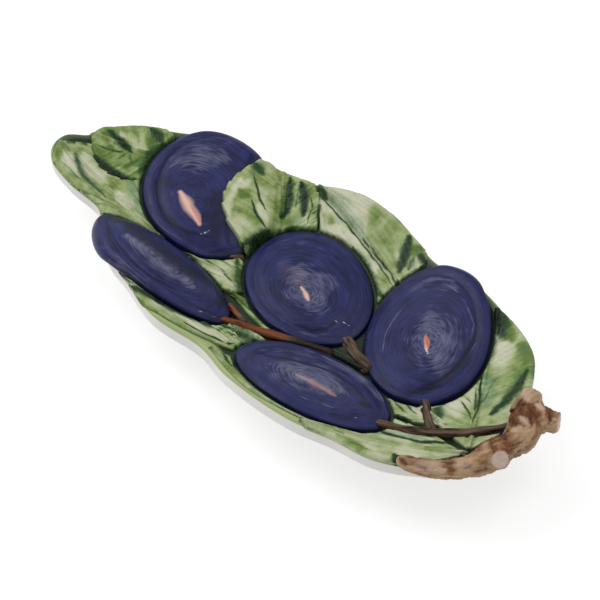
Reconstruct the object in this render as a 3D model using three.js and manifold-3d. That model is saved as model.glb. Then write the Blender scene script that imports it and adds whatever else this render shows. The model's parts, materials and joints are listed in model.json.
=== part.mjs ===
// Plum platter: a long, lobed majolica dish whose inside is covered with sprigged plums, leaves and twigs.
// The dish is a slab pressed over a hump mould. Every plum, leaf and twig is a separate pressed sprig that
// follows the bowl and sits on a thin bed of slip. A gnarled branch is luted over the right end of the rim.
// Millimetres, +Z up, X along the dish, -Y towards the diner's near side.

import * as THREE from 'three';
import { mergeVertices } from 'three/addons/utils/BufferGeometryUtils.js';
import Module from 'manifold-3d';

// Dish
const RIM_LENGTH = 294;
const RIM_WIDTH = 124;
const BOWL_DEPTH = 20;
const BOWL_CURVE = 2.2;
const SHELL_THICKNESS = 7;
const WALL_HEIGHT = 9;
const RIM_ROUNDING = 2;
const FOOT_HEIGHT = 3;
const FOOT_LENGTH = 168;
const FOOT_WIDTH = 62;
const FOOT_RING = 6;

// Lobes of the rim: direction in degrees round the dish, and how far the rim stands out from a plain oval
const RIM_LOBES = [
  [0, -6], [18, -5], [30, 0], [40, 6], [52, 6], [64, 5], [73, 0.5], [80, 2], [88, 4.5], [97, 4],
  [106, -1.5], [116, -3.5], [130, 0.5], [145, -2], [157, -1.5], [168, -1], [176, 1], [183, 1.5],
  [190, 9.5], [201, 10], [211, 0], [221, -12], [232, -7], [242, -3], [249, -3], [261, 1], [271, -5],
  [281, 2], [297, 7], [306, 5], [316, 9], [326, 5], [342, -2],
];

// Seats: slip under each sprig, side clearance between sprigs, and the bare lip left inside the rim
const SLIP_GAP = 0.3;
const SIDE_CLEARANCE = 0.35;
const RIM_LIP = 1.2;

// Plums
const PLUM_RISE = 9.5;
const PLUM_EDGE = 0.9;
const SUTURE_DEPTH = 1.8;
const SUTURE_WIDTH = 2.4;
const CAVITY_DEPTH = 3.2;
const CAVITY_WIDTH = 7;

// Leaves
const LEAF_THICKNESS = 1.7;
const MIDRIB_RISE = 0.9;
const VEIN_RISE = 0.5;
const VEIN_SLANT = 0.55;
const TOOTH_DEPTH = 1.1;
const LEAF_END = 0.9;
const LEAF_BELLY = 0.45;
const LEAF_DRAPE = 3;

// Twigs
const TWIG_WIDTH = 5;
const TWIG_RISE = 4;
const TWIG_LAP = 7;
const TWIG_BOW = 7;
const STALK_WIDTH = 4;
const STALK_RISE = 3.2;
const STALK_LAP = 4;
const TWIG_TAPER = 0.2;

// Branch
const BRANCH_DIAMETER = 13;
const BRANCH_TIP = 7;
const BRANCH_TIP_SHARE = 0.45;
const BRANCH_SEAT = 3.5;
const BRANCH_KNOT = 1.3;
const BARK_RIDGE = 0.5;
const BARK_RIDGES = 3;
const BARK_TWIST = 8;
const STUB_DIAMETER = 10;
const STUB_FLARE = 1;

// Glaze colours
const WHITE_GLAZE = 0xe4e2dd;
const PLUM_BLUE = 0x3a3b70;
const LEAF_GREEN = 0x9fb27c;
const PALE_GREEN = 0xbfc9a8;
const TWIG_BROWN = 0x5f4a34;
const BRANCH_BROWN = 0x9c7350;

// Facets
const RIM_STATIONS = 72;
const BOWL_RINGS = [0.004, 0.16, 0.3, 0.43, 0.55, 0.66, 0.76, 0.85, 0.93];
const UNDER_RINGS = [0.75, 0.5, 0.25];
const RECESS_RINGS = [0.5, 0.01];
const PLUM_SIDES = 24;
const PLUM_TOP_ROWS = 8;
const PLUM_BASE_ROWS = 4;
const RIB_COLUMN = 0.13;
const VEIN_COLUMN = 0.6;
const LEAF_COLUMNS = [-1, -VEIN_COLUMN, -RIB_COLUMN, 0, RIB_COLUMN, VEIN_COLUMN, 1];
const DRAPED_COLUMNS = [-1, -VEIN_COLUMN, -RIB_COLUMN, 0, RIB_COLUMN, 0.35, VEIN_COLUMN, 0.8, 0.9, 1];
const TWIG_SIDES = 10;
const TWIG_STEP = 5;
const BRANCH_SIDES = 12;
const BRANCH_STEPS = 16;
const STUB_SIDES = 10;
const WELD = 1e-5;

const wasm = await Module();
wasm.setup();

const radians = THREE.MathUtils.degToRad;
const platter = new THREE.Group();

// Height of the bowl's inner surface
function bowlHeight(x, y) {
  const reach = Math.hypot(x / (RIM_LENGTH / 2), y / (RIM_WIDTH / 2));
  return FOOT_HEIGHT + SHELL_THICKNESS + BOWL_DEPTH * reach ** BOWL_CURVE;
}

// How far the rim stands out in a direction, on a smooth curve through the lobes
function rimLobe(angle) {
  const turn = ((angle % 360) + 360) % 360;
  const count = RIM_LOBES.length;
  const after = RIM_LOBES.findIndex((lobe) => lobe[0] > turn);
  const next = after < 0 ? count : after;
  const lobe = (index) => {
    const wrapped = ((index % count) + count) % count;
    return [RIM_LOBES[wrapped][0] + 360 * Math.floor(index / count), RIM_LOBES[wrapped][1]];
  };
  const [a0, r0] = lobe(next - 2);
  const [a1, r1] = lobe(next - 1);
  const [a2, r2] = lobe(next);
  const [a3, r3] = lobe(next + 1);
  const span = a2 - a1;
  const share = (turn - a1) / span;
  const leave = ((r2 - r0) / (a2 - a0)) * span;
  const arrive = ((r3 - r1) / (a3 - a1)) * span;
  const bend = 3 * (r2 - r1) - 2 * leave - arrive;
  const twist = 2 * (r1 - r2) + leave + arrive;
  return r1 + leave * share + bend * share ** 2 + twist * share ** 3;
}

// Direction straight out from the plain oval
function rimNormal(angle) {
  const turn = radians(angle);
  return new THREE.Vector2(Math.cos(turn) / RIM_LENGTH, Math.sin(turn) / RIM_WIDTH).normalize();
}

// Point of the rim in a direction, moved inwards by an inset
function rimPoint(angle, inset = 0) {
  const turn = radians(angle);
  const oval = new THREE.Vector2((RIM_LENGTH / 2) * Math.cos(turn), (RIM_WIDTH / 2) * Math.sin(turn));
  return oval.addScaledVector(rimNormal(angle), rimLobe(angle) - inset);
}

// Place in the bowl: shares of the way from the middle to the plain oval, along the dish and across it
function spot(along, across) {
  return new THREE.Vector2((along * RIM_LENGTH) / 2, (across * RIM_WIDTH) / 2);
}

function rimOutline(inset) {
  return Array.from({ length: RIM_STATIONS }, (_, i) => rimPoint((360 * i) / RIM_STATIONS, inset));
}

// Closed solid through a stack of rings, pointed at its first and last ring's centre
function loft(rings) {
  const count = rings[0].length;
  const corners = rings.flat();
  const index = [];
  const first = corners.length;
  const centre = (ring) => new THREE.Vector3(0, 0, ring[0].z);
  corners.push(centre(rings[0]), centre(rings.at(-1)));
  const lastRing = (rings.length - 1) * count;
  for (let i = 0; i < count; i += 1) {
    const j = (i + 1) % count;
    index.push(first, i, j);
    index.push(first + 1, lastRing + j, lastRing + i);
    for (let ring = 0; ring < lastRing; ring += count) {
      index.push(ring + i, ring + count + i, ring + j);
      index.push(ring + j, ring + count + i, ring + count + j);
    }
  }
  const geometry = new THREE.BufferGeometry().setFromPoints(corners);
  geometry.setIndex(index);
  return geometry;
}

// Dish: bowl, rounded rim, upright edge, underside parallel to the bowl, and an oval foot ring.
// A skin thickens it all round, for cutting a seat in what lies on it.
function dishGeometry(skin = 0) {
  const arcMiddle = RIM_ROUNDING * (1 - Math.SQRT1_2);
  const lip = rimOutline(RIM_ROUNDING);
  const bowlRing = (share) => lip.map((p) => {
    const corner = new THREE.Vector3(p.x * share, p.y * share, 0);
    return corner.setZ(bowlHeight(corner.x, corner.y) + skin);
  });
  const edge = (inset, drop) => rimOutline(inset - skin).map((p, i) => {
    return new THREE.Vector3(p.x, p.y, bowlHeight(lip[i].x, lip[i].y) + skin - drop);
  });
  const underside = (p) => p.setZ(bowlHeight(p.x, p.y) - SHELL_THICKNESS);
  const footOval = (inset) => lip.map((_, i) => {
    const turn = (2 * Math.PI * i) / RIM_STATIONS;
    const x = (FOOT_LENGTH / 2 - inset) * Math.cos(turn);
    const y = (FOOT_WIDTH / 2 - inset) * Math.sin(turn);
    return new THREE.Vector3(x, y, 0);
  });
  const heel = edge(RIM_ROUNDING, WALL_HEIGHT);
  const underRing = (share) => footOval(0).map((p, i) => {
    const corner = underside(p.lerp(heel[i], share));
    return corner.setZ(Math.min(corner.z, heel[i].z));
  });
  return loft([
    ...BOWL_RINGS.map(bowlRing),
    edge(RIM_ROUNDING, 0),
    edge(arcMiddle, arcMiddle),
    edge(0, RIM_ROUNDING),
    edge(0, WALL_HEIGHT - RIM_ROUNDING),
    edge(arcMiddle, WALL_HEIGHT - arcMiddle),
    heel,
    ...UNDER_RINGS.map(underRing),
    footOval(0).map(underside),
    footOval(0),
    footOval(FOOT_RING),
    footOval(FOOT_RING).map(underside),
    ...RECESS_RINGS.map((share) => footOval(FOOT_RING).map((p) => underside(p.multiplyScalar(share)))),
  ]);
}

// Closed geometry as a solid for joining and cutting
function solidOf(geometry) {
  const bare = geometry.clone();
  bare.deleteAttribute('normal');
  bare.deleteAttribute('uv');
  const welded = mergeVertices(bare, WELD);
  const vertProperties = new Float32Array(welded.attributes.position.array);
  const triVerts = new Uint32Array(welded.index.array);
  return new wasm.Manifold(new wasm.Mesh({ numProp: 3, vertProperties, triVerts }));
}

// Upright prism over a plan outline, as tall as the dish is long, so that it passes through every sprig
function prism(outline) {
  const settings = { depth: RIM_LENGTH, bevelEnabled: false };
  const geometry = new THREE.ExtrudeGeometry(new THREE.Shape(outline), settings);
  return solidOf(geometry.translate(0, 0, -RIM_LENGTH / 2));
}

// Largest body of a cut sprig: the offcuts are thrown away
function largestBody(solid) {
  const bodies = solid.decompose();
  return bodies.reduce((best, body) => (body.volume() > best.volume() ? body : best));
}

function addNode(name, solid, color, roughness) {
  const mesh = solid.getMesh();
  const geometry = new THREE.BufferGeometry();
  geometry.setAttribute('position', new THREE.BufferAttribute(mesh.vertProperties, 3));
  geometry.setIndex(new THREE.BufferAttribute(mesh.triVerts, 1));
  geometry.computeVertexNormals();
  const material = new THREE.MeshStandardMaterial({ color, roughness, metalness: 0 });
  const node = new THREE.Mesh(geometry, material);
  node.name = name;
  platter.add(node);
}

// Moves every corner of a geometry by a function
function shape(geometry, place) {
  const position = geometry.attributes.position;
  const corner = new THREE.Vector3();
  for (let i = 0; i < position.count; i += 1) {
    corner.fromBufferAttribute(position, i);
    const placed = place(corner);
    position.setXYZ(i, placed.x, placed.y, placed.z);
  }
  return geometry;
}

// Corner at a height over the slip on the bowl
function onBowl(plan, rise) {
  return new THREE.Vector3(plan.x, plan.y, bowlHeight(plan.x, plan.y) + SLIP_GAP + rise);
}

// Sprigs are laid from the top of the pile down: each one is cut to the rim and to the sprigs above it.
// A leaf that lies over a plum is cut to the plum's dome instead of its outline.
const rimTrim = prism(rimOutline(RIM_LIP));
const footprints = [];

function laySprig(name, geometry, outline, color, roughness, bed) {
  let solid = solidOf(geometry).intersect(rimTrim);
  for (const footprint of footprints) {
    solid = solid.subtract(footprint.name === bed ? plumSolid(bed, SLIP_GAP) : footprint.solid);
  }
  addNode(name, largestBody(solid), color, roughness);
  footprints.push({ name, solid: prism(outline) });
}

// Dish
const dish = solidOf(dishGeometry());
addNode('dish_body', dish, WHITE_GLAZE, 0.25);

// Plums, from the top of the pile down. Each one lies from one place to another and is wide enough to come
// to a margin inside the rim in a direction. The stalk leaves at an angle to the plum's length, and the
// suture runs round a point beside the plum's middle, at a reach from it, in shares of the plum.
const PLUMS = {
  plum_far_right: {
    ends: [spot(0.286, 0.893), spot(0.65, -0.066)], rimAngle: 59, margin: 0.8, stalkAngle: 0,
    suture: [0, -0.1, 0.84],
  },
  plum_near_right: {
    ends: [spot(0.077, -0.6), spot(0.647, -0.482)], rimAngle: 293, margin: 5, stalkAngle: 0,
    suture: [0.1, -0.15, 0.87],
  },
  plum_centre: {
    ends: [spot(-0.247, 0.364), spot(0.275, 0.056)], rimAngle: 89, margin: 24, stalkAngle: 0,
    suture: [0, 0.06, 0.9],
  },
  plum_far_left: {
    ends: [spot(-0.779, 0.488), spot(-0.262, 0.089)], rimAngle: 126, margin: -2, stalkAngle: -34,
    suture: [0.09, 0.12, 0.9],
  },
  plum_near_left: {
    ends: [spot(-0.668, -0.584), spot(-0.043, -0.532)], rimAngle: 247.5, margin: -1, stalkAngle: 0,
    suture: [0.05, 0.3, 0.93],
  },
};

for (const plum of Object.values(PLUMS)) {
  const [tail, head] = plum.ends;
  plum.centre = tail.clone().lerp(head, 0.5);
  plum.length = tail.distanceTo(head);
  plum.along = head.clone().sub(tail).normalize();
  plum.across = new THREE.Vector2(-plum.along.y, plum.along.x);
  const out = rimNormal(plum.rimAngle);
  const reach = rimPoint(plum.rimAngle, plum.margin).sub(plum.centre).dot(out);
  const lengthOut = (plum.length / 2) * plum.along.dot(out);
  plum.width = (2 * Math.sqrt(reach ** 2 - lengthOut ** 2)) / Math.abs(plum.across.dot(out));
  plum.at = (u, v, grow = 0) => plum.centre.clone()
    .addScaledVector(plum.along, u * (plum.length / 2 + grow))
    .addScaledVector(plum.across, v * (plum.width / 2 + grow));
  plum.stalkPoint = plum.at(Math.cos(radians(plum.stalkAngle)), Math.sin(radians(plum.stalkAngle)));
}

// Plum: a low dome with a suture groove and a hollow where its stalk goes in.
// A skin thickens it all round, for cutting a seat in what lies over it.
function plumGeometry(name, skin = 0) {
  const plum = PLUMS[name];
  const [sutureU, sutureV, sutureReach] = plum.suture;
  const rows = PLUM_TOP_ROWS + PLUM_BASE_ROWS;
  const geometry = new THREE.SphereGeometry(1, PLUM_SIDES, rows);
  return shape(geometry, ({ x, y, z }) => {
    const row = Math.round((Math.acos(y) / Math.PI) * rows);
    const onTop = row < PLUM_TOP_ROWS;
    const share = onTop ? row / PLUM_TOP_ROWS : (rows - row) / PLUM_BASE_ROWS;
    const reach = Math.sin((share * Math.PI) / 2);
    const around = Math.atan2(-z, x);
    const [u, v] = [reach * Math.cos(around), reach * Math.sin(around)];
    const corner = plum.at(u, v, skin);
    if (!onTop) {
      return onBowl(corner, -skin);
    }
    const dome = Math.cos((share * Math.PI) / 2);
    const fromSuture = Math.abs(Math.hypot(u - sutureU, v - sutureV) - sutureReach) * (plum.width / 2);
    const groove = SUTURE_DEPTH * Math.exp(-((fromSuture / SUTURE_WIDTH) ** 2));
    const cavity = CAVITY_DEPTH * Math.exp(-((corner.distanceTo(plum.stalkPoint) / CAVITY_WIDTH) ** 2));
    return onBowl(corner, PLUM_RISE * dome ** PLUM_EDGE - (groove + cavity) * dome + skin);
  });
}

function plumSolid(name, skin) {
  return solidOf(plumGeometry(name, skin));
}

function layPlum(name) {
  const outline = Array.from({ length: 2 * PLUM_SIDES }, (_, i) => {
    const turn = (Math.PI * i) / PLUM_SIDES;
    return PLUMS[name].at(Math.cos(turn), Math.sin(turn), SIDE_CLEARANCE);
  });
  laySprig(name, plumGeometry(name), outline, PLUM_BLUE, 0.3);
}

// Height of the bed that a leaf lies on where it drapes over a plum: the plum's dome, eased outwards
function drapeHeight(name, plan) {
  const { centre, along, across, length, width } = PLUMS[name];
  const offset = plan.clone().sub(centre);
  const u = offset.dot(along) / (length / 2 + LEAF_DRAPE);
  const v = offset.dot(across) / (width / 2 + LEAF_DRAPE);
  return PLUM_RISE * Math.sqrt(Math.max(0, 1 - u * u - v * v)) ** PLUM_EDGE;
}

// Bowed line in plan from one point to another
function bowedLine(from, to, bow) {
  const middle = from.clone().lerp(to, 0.5);
  const along = to.clone().sub(from).normalize();
  middle.addScaledVector(new THREE.Vector2(-along.y, along.x), 2 * bow);
  return new THREE.QuadraticBezierCurve(from, middle, to);
}

// Point beside a line in plan: a share of the way along it, an offset ahead and an offset to its left
function besideLine(line, share, ahead, left) {
  const tangent = line.getTangent(share);
  const point = line.getPoint(share).addScaledVector(tangent, ahead);
  return point.addScaledVector(new THREE.Vector2(-tangent.y, tangent.x), left);
}

// Leaf: a thin plate with a raised midrib, and side veins that slant forward and end in teeth
function layLeaf(name, leaf) {
  const midrib = bowedLine(leaf.base, leaf.tip, leaf.bow ?? 0);
  const rows = 2 * leaf.veins;
  const fullest = Math.log(0.5) / Math.log(leaf.belly ?? LEAF_BELLY);
  const [leftWidth, rightWidth] = leaf.halves ?? [leaf.width / 2, leaf.width / 2];
  const place = (row, across, grow) => {
    const body = (across > 0 ? leftWidth : rightWidth) * Math.sin(Math.PI * (row / rows) ** fullest);
    const notch = leaf.toothed && row % 2 === 1 ? TOOTH_DEPTH : 0;
    const reach = Math.max(body - notch, LEAF_END / 2) + grow;
    const ahead = VEIN_SLANT * Math.abs(across) * body;
    const end = row === 0 ? -grow : row === rows ? grow : 0;
    return besideLine(midrib, row / rows, ahead + end, across * reach);
  };
  const columns = leaf.over ? DRAPED_COLUMNS : LEAF_COLUMNS;
  const geometry = new THREE.BoxGeometry(1, 1, 1, rows, columns.length - 1, 1);
  shape(geometry, ({ x, y, z }) => {
    const row = Math.round((x + 0.5) * rows);
    const across = columns[Math.round((y + 0.5) * (columns.length - 1))];
    const plan = place(row, across, 0);
    if (z < 0) {
      return onBowl(plan, 0);
    }
    const rib = across === 0 ? MIDRIB_RISE : 0;
    const vein = row % 2 === 0 && Math.abs(across) >= VEIN_COLUMN ? VEIN_RISE : 0;
    const bed = leaf.over ? drapeHeight(leaf.over, plan) : 0;
    return onBowl(plan, bed + LEAF_THICKNESS + rib + vein);
  });
  const outline = [];
  for (let row = 0; row <= rows; row += 1) {
    outline.push(place(row, -1, SIDE_CLEARANCE));
  }
  for (let row = rows; row >= 0; row -= 1) {
    outline.push(place(row, 1, SIDE_CLEARANCE));
  }
  laySprig(name, geometry, outline, leaf.color ?? LEAF_GREEN, 0.3, leaf.over);
}

// Twig: a half-round strip that thins slightly towards its far end
function layTwig(name, { line, width, rise }) {
  const steps = Math.ceil(line.getLength() / TWIG_STEP);
  const taper = (share) => 1 - TWIG_TAPER * share;
  const geometry = new THREE.CylinderGeometry(1, 1, 1, TWIG_SIDES, steps);
  shape(geometry, ({ x, y, z }) => {
    const share = y + 0.5;
    const plan = besideLine(line, share, 0, -x * (width / 2) * taper(share));
    return onBowl(plan, Math.max(z, 0) * rise * taper(share));
  });
  const outline = [];
  const side = (share, sign) => {
    const end = share === 0 ? -SIDE_CLEARANCE : share === 1 ? SIDE_CLEARANCE : 0;
    return besideLine(line, share, end, sign * ((width / 2) * taper(share) + SIDE_CLEARANCE));
  };
  for (let step = 0; step <= steps; step += 1) {
    outline.push(side(step / steps, -1));
  }
  for (let step = steps; step >= 0; step -= 1) {
    outline.push(side(step / steps, 1));
  }
  laySprig(name, geometry, outline, TWIG_BROWN, 0.4);
}

// Branch: a knotty log over the right end of the rim, with three sawn stubs, seated on the dish.
// Its knots are waves along it: rate, start and share of the knot size.
const KNOT_WAVES = [[17, 0, 0.5], [9, 1, 0.4]];
const STUBS = [
  { share: 0.5, aim: [0.6, -0.45, 0.45], length: 8.5 },
  { share: 0.94, aim: [0.75, 0.8, 0.2], length: 10.5 },
  { share: 0.97, aim: [-0.6, 1, 0.45], length: 9.5 },
];
const branchStations = [
  [321, 2], [330, -1.5], [340, -2], [350, -1], [0, -1], [9, -1], [18, -1],
].map(([angle, inset]) => rimPoint(angle, inset));
const branchLine = new THREE.SplineCurve(branchStations);

function branchAxis(share) {
  const p = branchLine.getPoint(share);
  return new THREE.Vector3(p.x, p.y, bowlHeight(p.x, p.y) + BRANCH_DIAMETER / 2 - BRANCH_SEAT);
}

function branchRadius(share, around) {
  const swell = KNOT_WAVES
    .map(([rate, start, part]) => part * Math.sin(rate * share + start))
    .reduce((sum, wave) => sum + wave);
  const ridge = BARK_RIDGE * (Math.cos(BARK_RIDGES * around + BARK_TWIST * share) - 1);
  const grown = Math.min(1, share / BRANCH_TIP_SHARE);
  return THREE.MathUtils.lerp(BRANCH_TIP, BRANCH_DIAMETER, grown) / 2 + BRANCH_KNOT * swell + ridge;
}

// Sawn stub: a short shaft that flares into the branch
function stubSolid({ share, aim, length }) {
  const radius = STUB_DIAMETER / 2;
  const shaft = new THREE.CylinderGeometry(radius, radius + STUB_FLARE, length, STUB_SIDES);
  shaft.translate(0, length / 2, 0);
  const upright = new THREE.Vector3(0, 1, 0);
  const direction = new THREE.Vector3(...aim).normalize();
  shaft.applyQuaternion(new THREE.Quaternion().setFromUnitVectors(upright, direction));
  const root = branchAxis(share);
  return solidOf(shaft.translate(root.x, root.y, root.z));
}

function branchSolid() {
  const geometry = new THREE.CylinderGeometry(1, 1, 1, BRANCH_SIDES, BRANCH_STEPS);
  shape(geometry, ({ x, y, z }) => {
    const share = y + 0.5;
    const around = Math.atan2(z, x);
    const reach = branchRadius(share, around) * Math.hypot(x, z);
    const tangent = branchLine.getTangent(share);
    const right = new THREE.Vector3(tangent.y, -tangent.x, 0);
    const corner = branchAxis(share).addScaledVector(right, reach * Math.cos(around));
    return corner.setZ(corner.z + reach * Math.sin(around));
  });
  const log = STUBS.reduce((solid, stub) => solid.add(stubSolid(stub)), solidOf(geometry));
  return log.subtract(solidOf(dishGeometry(SLIP_GAP)));
}

function branchFootprint() {
  const outline = [];
  const side = (step, sign) => {
    const share = step / BRANCH_STEPS;
    const reach = branchRadius(share, 0) + BARK_RIDGE + SIDE_CLEARANCE;
    return besideLine(branchLine, share, step === 0 ? -SIDE_CLEARANCE : 0, sign * reach);
  };
  for (let step = 0; step <= BRANCH_STEPS; step += 1) {
    outline.push(side(step, -1));
  }
  for (let step = BRANCH_STEPS; step >= 0; step -= 1) {
    outline.push(side(step, 1));
  }
  return { name: 'branch', solid: prism(outline) };
}

function stubFootprint({ share, aim, length }) {
  const direction = new THREE.Vector3(...aim).normalize();
  const root = branchLine.getPoint(share);
  const tip = root.clone().addScaledVector(new THREE.Vector2(direction.x, direction.y), length);
  const line = new THREE.LineCurve(root, tip);
  const reach = STUB_DIAMETER / 2 + STUB_FLARE + SIDE_CLEARANCE;
  const end = reach * Math.abs(direction.z) + SIDE_CLEARANCE;
  const corners = [[0, -end, -reach], [1, end, -reach], [1, end, reach], [0, -end, reach]];
  const outline = corners.map(([along, ahead, left]) => besideLine(line, along, ahead, left));
  return { name: 'branch', solid: prism(outline) };
}

addNode('branch', largestBody(branchSolid()), BRANCH_BROWN, 0.45);
footprints.push(branchFootprint(), ...STUBS.map(stubFootprint));

// Twigs: the main twig leaves the branch and ends at the near right plum, and each plum has its stalk
const stalkEnd = (name, lap) => {
  const plum = PLUMS[name];
  const inwards = plum.centre.clone().sub(plum.stalkPoint).normalize();
  return plum.stalkPoint.clone().addScaledVector(inwards, lap);
};
const layStalk = (name, from, plum, bow = 0) => {
  const line = bowedLine(from, stalkEnd(plum, STALK_LAP), bow);
  layTwig(name, { line, width: STALK_WIDTH, rise: STALK_RISE });
};
const mainTwig = bowedLine(branchLine.getPoint(0.9), stalkEnd('plum_near_right', TWIG_LAP), TWIG_BOW);
layTwig('main_twig', { line: mainTwig, width: TWIG_WIDTH, rise: TWIG_RISE });
layStalk('far_right_stalk', mainTwig.getPoint(0.6), 'plum_far_right');
layStalk('centre_stalk', spot(0.42, -0.05), 'plum_centre', 1);
layStalk('near_left_stalk', spot(0.285, -0.13), 'plum_near_left', -2);
const spurLine = bowedLine(spot(0, -0.42), spot(-0.11, -0.355), 0);
layTwig('near_left_spur', { line: spurLine, width: STALK_WIDTH, rise: STALK_RISE });
layStalk('far_left_stalk', spot(-0.25, 0.1), 'plum_far_left');

// Leaves, from the top of the pile down, each from its base to its tip
const LEAVES = {
  far_middle_leaf: {
    base: spot(-0.115, 0.13), tip: rimPoint(116, -9), halves: [30, 21], veins: 10, toothed: true,
    belly: 0.34, over: 'plum_far_left',
  },
  far_left_leaf: {
    base: spot(-0.61, 0.47), tip: rimPoint(182, 2), width: 44, veins: 9, toothed: true, belly: 0.5,
  },
  right_end_leaf: {
    base: spot(0.89, -0.225), tip: rimPoint(55, 2), width: 64, veins: 8, color: PALE_GREEN, belly: 0.38,
  },
  near_right_leaf: {
    base: spot(0.9, -0.275), tip: rimPoint(299, 2), width: 46, veins: 8, toothed: true,
  },
  twig_leaf: { base: spot(0.775, -0.13), tip: spot(0.435, -0.03), width: 34, veins: 6, toothed: true },
  centre_left_leaf: {
    base: spot(-0.11, -0.03), tip: spot(-0.46, -0.305), width: 26, veins: 7, toothed: true,
  },
  stalk_leaf_upper: { base: spot(0.41, -0.08), tip: spot(-0.15, -0.24), width: 20, veins: 7 },
  stalk_leaf_lower: { base: spot(0.15, -0.42), tip: spot(-0.08, -0.61), width: 13, veins: 6 },
  far_right_leaf: {
    base: rimPoint(105, 1), tip: spot(0.33, 0.6), width: 46, veins: 9, color: PALE_GREEN, bow: 2,
  },
  tip_leaf: {
    base: spot(-0.45, -0.26), tip: rimPoint(194, 2), width: 40, veins: 8, color: PALE_GREEN, belly: 0.55,
  },
  near_left_leaf: { base: spot(0.12, -0.68), tip: rimPoint(243, 1), width: 34, veins: 8, bow: -3 },
  near_rim_leaf: { base: rimPoint(308, 4), tip: rimPoint(273, 3), width: 22, veins: 8, bow: -1 },
};

Object.keys(PLUMS).forEach(layPlum);
Object.entries(LEAVES).forEach(([name, leaf]) => layLeaf(name, leaf));

// The platter stands with its foot on the table, centred on its own box
const box = new THREE.Box3().setFromObject(platter);
platter.position.set(-(box.min.x + box.max.x) / 2, -(box.min.y + box.max.y) / 2, 0);

export default platter;
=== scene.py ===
"""Plum platter: a hand-painted majolica serving dish with sprigged plums, leaves, twigs and a branch."""

import json
import math

import bmesh
import bpy
import numpy as np
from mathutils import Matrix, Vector, noise


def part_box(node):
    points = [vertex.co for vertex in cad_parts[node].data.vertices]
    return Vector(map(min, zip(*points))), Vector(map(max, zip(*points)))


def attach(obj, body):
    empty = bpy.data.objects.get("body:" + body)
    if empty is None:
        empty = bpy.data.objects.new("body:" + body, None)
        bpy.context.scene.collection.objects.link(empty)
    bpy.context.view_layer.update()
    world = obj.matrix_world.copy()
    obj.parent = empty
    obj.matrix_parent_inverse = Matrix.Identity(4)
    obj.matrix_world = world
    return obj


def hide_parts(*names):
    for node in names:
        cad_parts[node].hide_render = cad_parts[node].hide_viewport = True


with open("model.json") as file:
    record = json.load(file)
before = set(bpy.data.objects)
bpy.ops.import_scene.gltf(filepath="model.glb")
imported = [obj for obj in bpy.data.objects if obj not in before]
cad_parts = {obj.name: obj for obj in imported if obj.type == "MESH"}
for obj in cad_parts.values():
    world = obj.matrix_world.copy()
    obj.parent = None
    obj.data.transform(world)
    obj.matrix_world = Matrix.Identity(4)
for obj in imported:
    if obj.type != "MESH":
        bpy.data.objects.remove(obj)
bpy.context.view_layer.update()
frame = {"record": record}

bl_info = {
    "name": "Plum Platter",
    "version": (1, 0, 0),
    "blender": (4, 5, 0),
    "location": "View3D > Sidebar > Platter",
    "description": "Builds a lobed majolica platter with relief plums, leaves, twigs and a branch",
    "category": "Add Mesh",
}

MM = 0.001
TAU = math.tau

# Dish, in metres
RIM_LENGTH = 0.294
RIM_WIDTH = 0.124
BOWL_DEPTH = 0.020
BOWL_CURVE = 2.2
SHELL_THICKNESS = 0.007
WALL_HEIGHT = 0.009
RIM_ROUNDING = 0.002
FOOT_HEIGHT = 0.003
FOOT_LENGTH = 0.168
FOOT_WIDTH = 0.062
FOOT_RING = 0.006

# Lobes of the rim: direction in degrees, and how far in millimetres the rim stands out from a plain oval
RIM_LOBES = [
    (0, -6), (18, -5), (30, 0), (40, 6), (52, 6), (64, 5), (73, 0.5), (80, 2), (88, 4.5), (97, 4),
    (106, -1.5), (116, -3.5), (130, 0.5), (145, -2), (157, -1.5), (168, -1), (176, 1), (183, 1.5),
    (190, 9.5), (201, 10), (211, 0), (221, -12), (232, -7), (242, -3), (249, -3), (261, 1), (271, -5),
    (281, 2), (297, 7), (306, 5), (316, 9), (326, 5), (342, -2),
]

# Viewpoint of the photograph: its size, the direction to the camera, and the pixel of a point over the bowl
PHOTO_SIZE = 600
VIEW_AZIMUTH = math.radians(46.7)
VIEW_ELEVATION = math.radians(45.0)
VIEW_DISTANCE = 0.8
VIEW_TARGET = np.array([-0.00035, 0.00143, 0.017])
VIEW_TARGET_PX = np.array([287.4, 293.0])
VIEW_FOCAL_PX = 1666.0
SENSOR_WIDTH = 36.0

# Steps that bring a point's place on the rim, and a pixel's place on the dish, close enough
TURN_STEPS = 8
TURN_LIMIT = 0.2
RAY_STEPS = 60
RAY_EASE = 0.5

# Dish: degrees between the points of the solids' rim, and the mesh's rings and cells
SOLID_RIM_STEP = 5.0
RIM_ARC_POINTS = 7
BOWL_RINGS = 40
UNDER_RINGS = 12
RECESS_RINGS = 10
RIM_CELLS = 288

# Dark green painted inside the bowl as painted shade in the gaps between sprigs: how it fades to the rim,
# and how far it keeps from the near side's rim
GAP_SHADE_FADE = 3 * MM
NEAR_MARGIN = 6 * MM
NEAR_SIDE = (0.2 * RIM_WIDTH, 0.3 * RIM_WIDTH)

# Sprigs: how deep their edges sink into what they lie on, and how close the doubles that are merged lie
EDGE_SINK = 0.0012
WELD = 2e-5

# Plums: the dome, the dark paint along its edge and suture, which is partly painted shade at the edge and in
# the groove, and the mesh's cells
SUTURE_WIDTH = 0.0022
CAVITY_WIDTH = 0.007
PLUM_EDGE = 0.9
PLUM_OVERHANG = 0.008
PLUM_TOP_SHARE = 0.85
PLUM_SINK_SHARE = 0.97
PLUM_OUTLINE_AND_SHADE = 0.9
PLUM_OUTLINE_AND_SHADE_WIDTH = 1.2 * MM
SUTURE_LINE_AND_SHADE = 0.5
SUTURE_LINE_AND_SHADE_WIDTH = 1.0 * MM
PLUM_CELLS = (300, 84)
LAST_ROW = 1 - 1e-6

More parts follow.
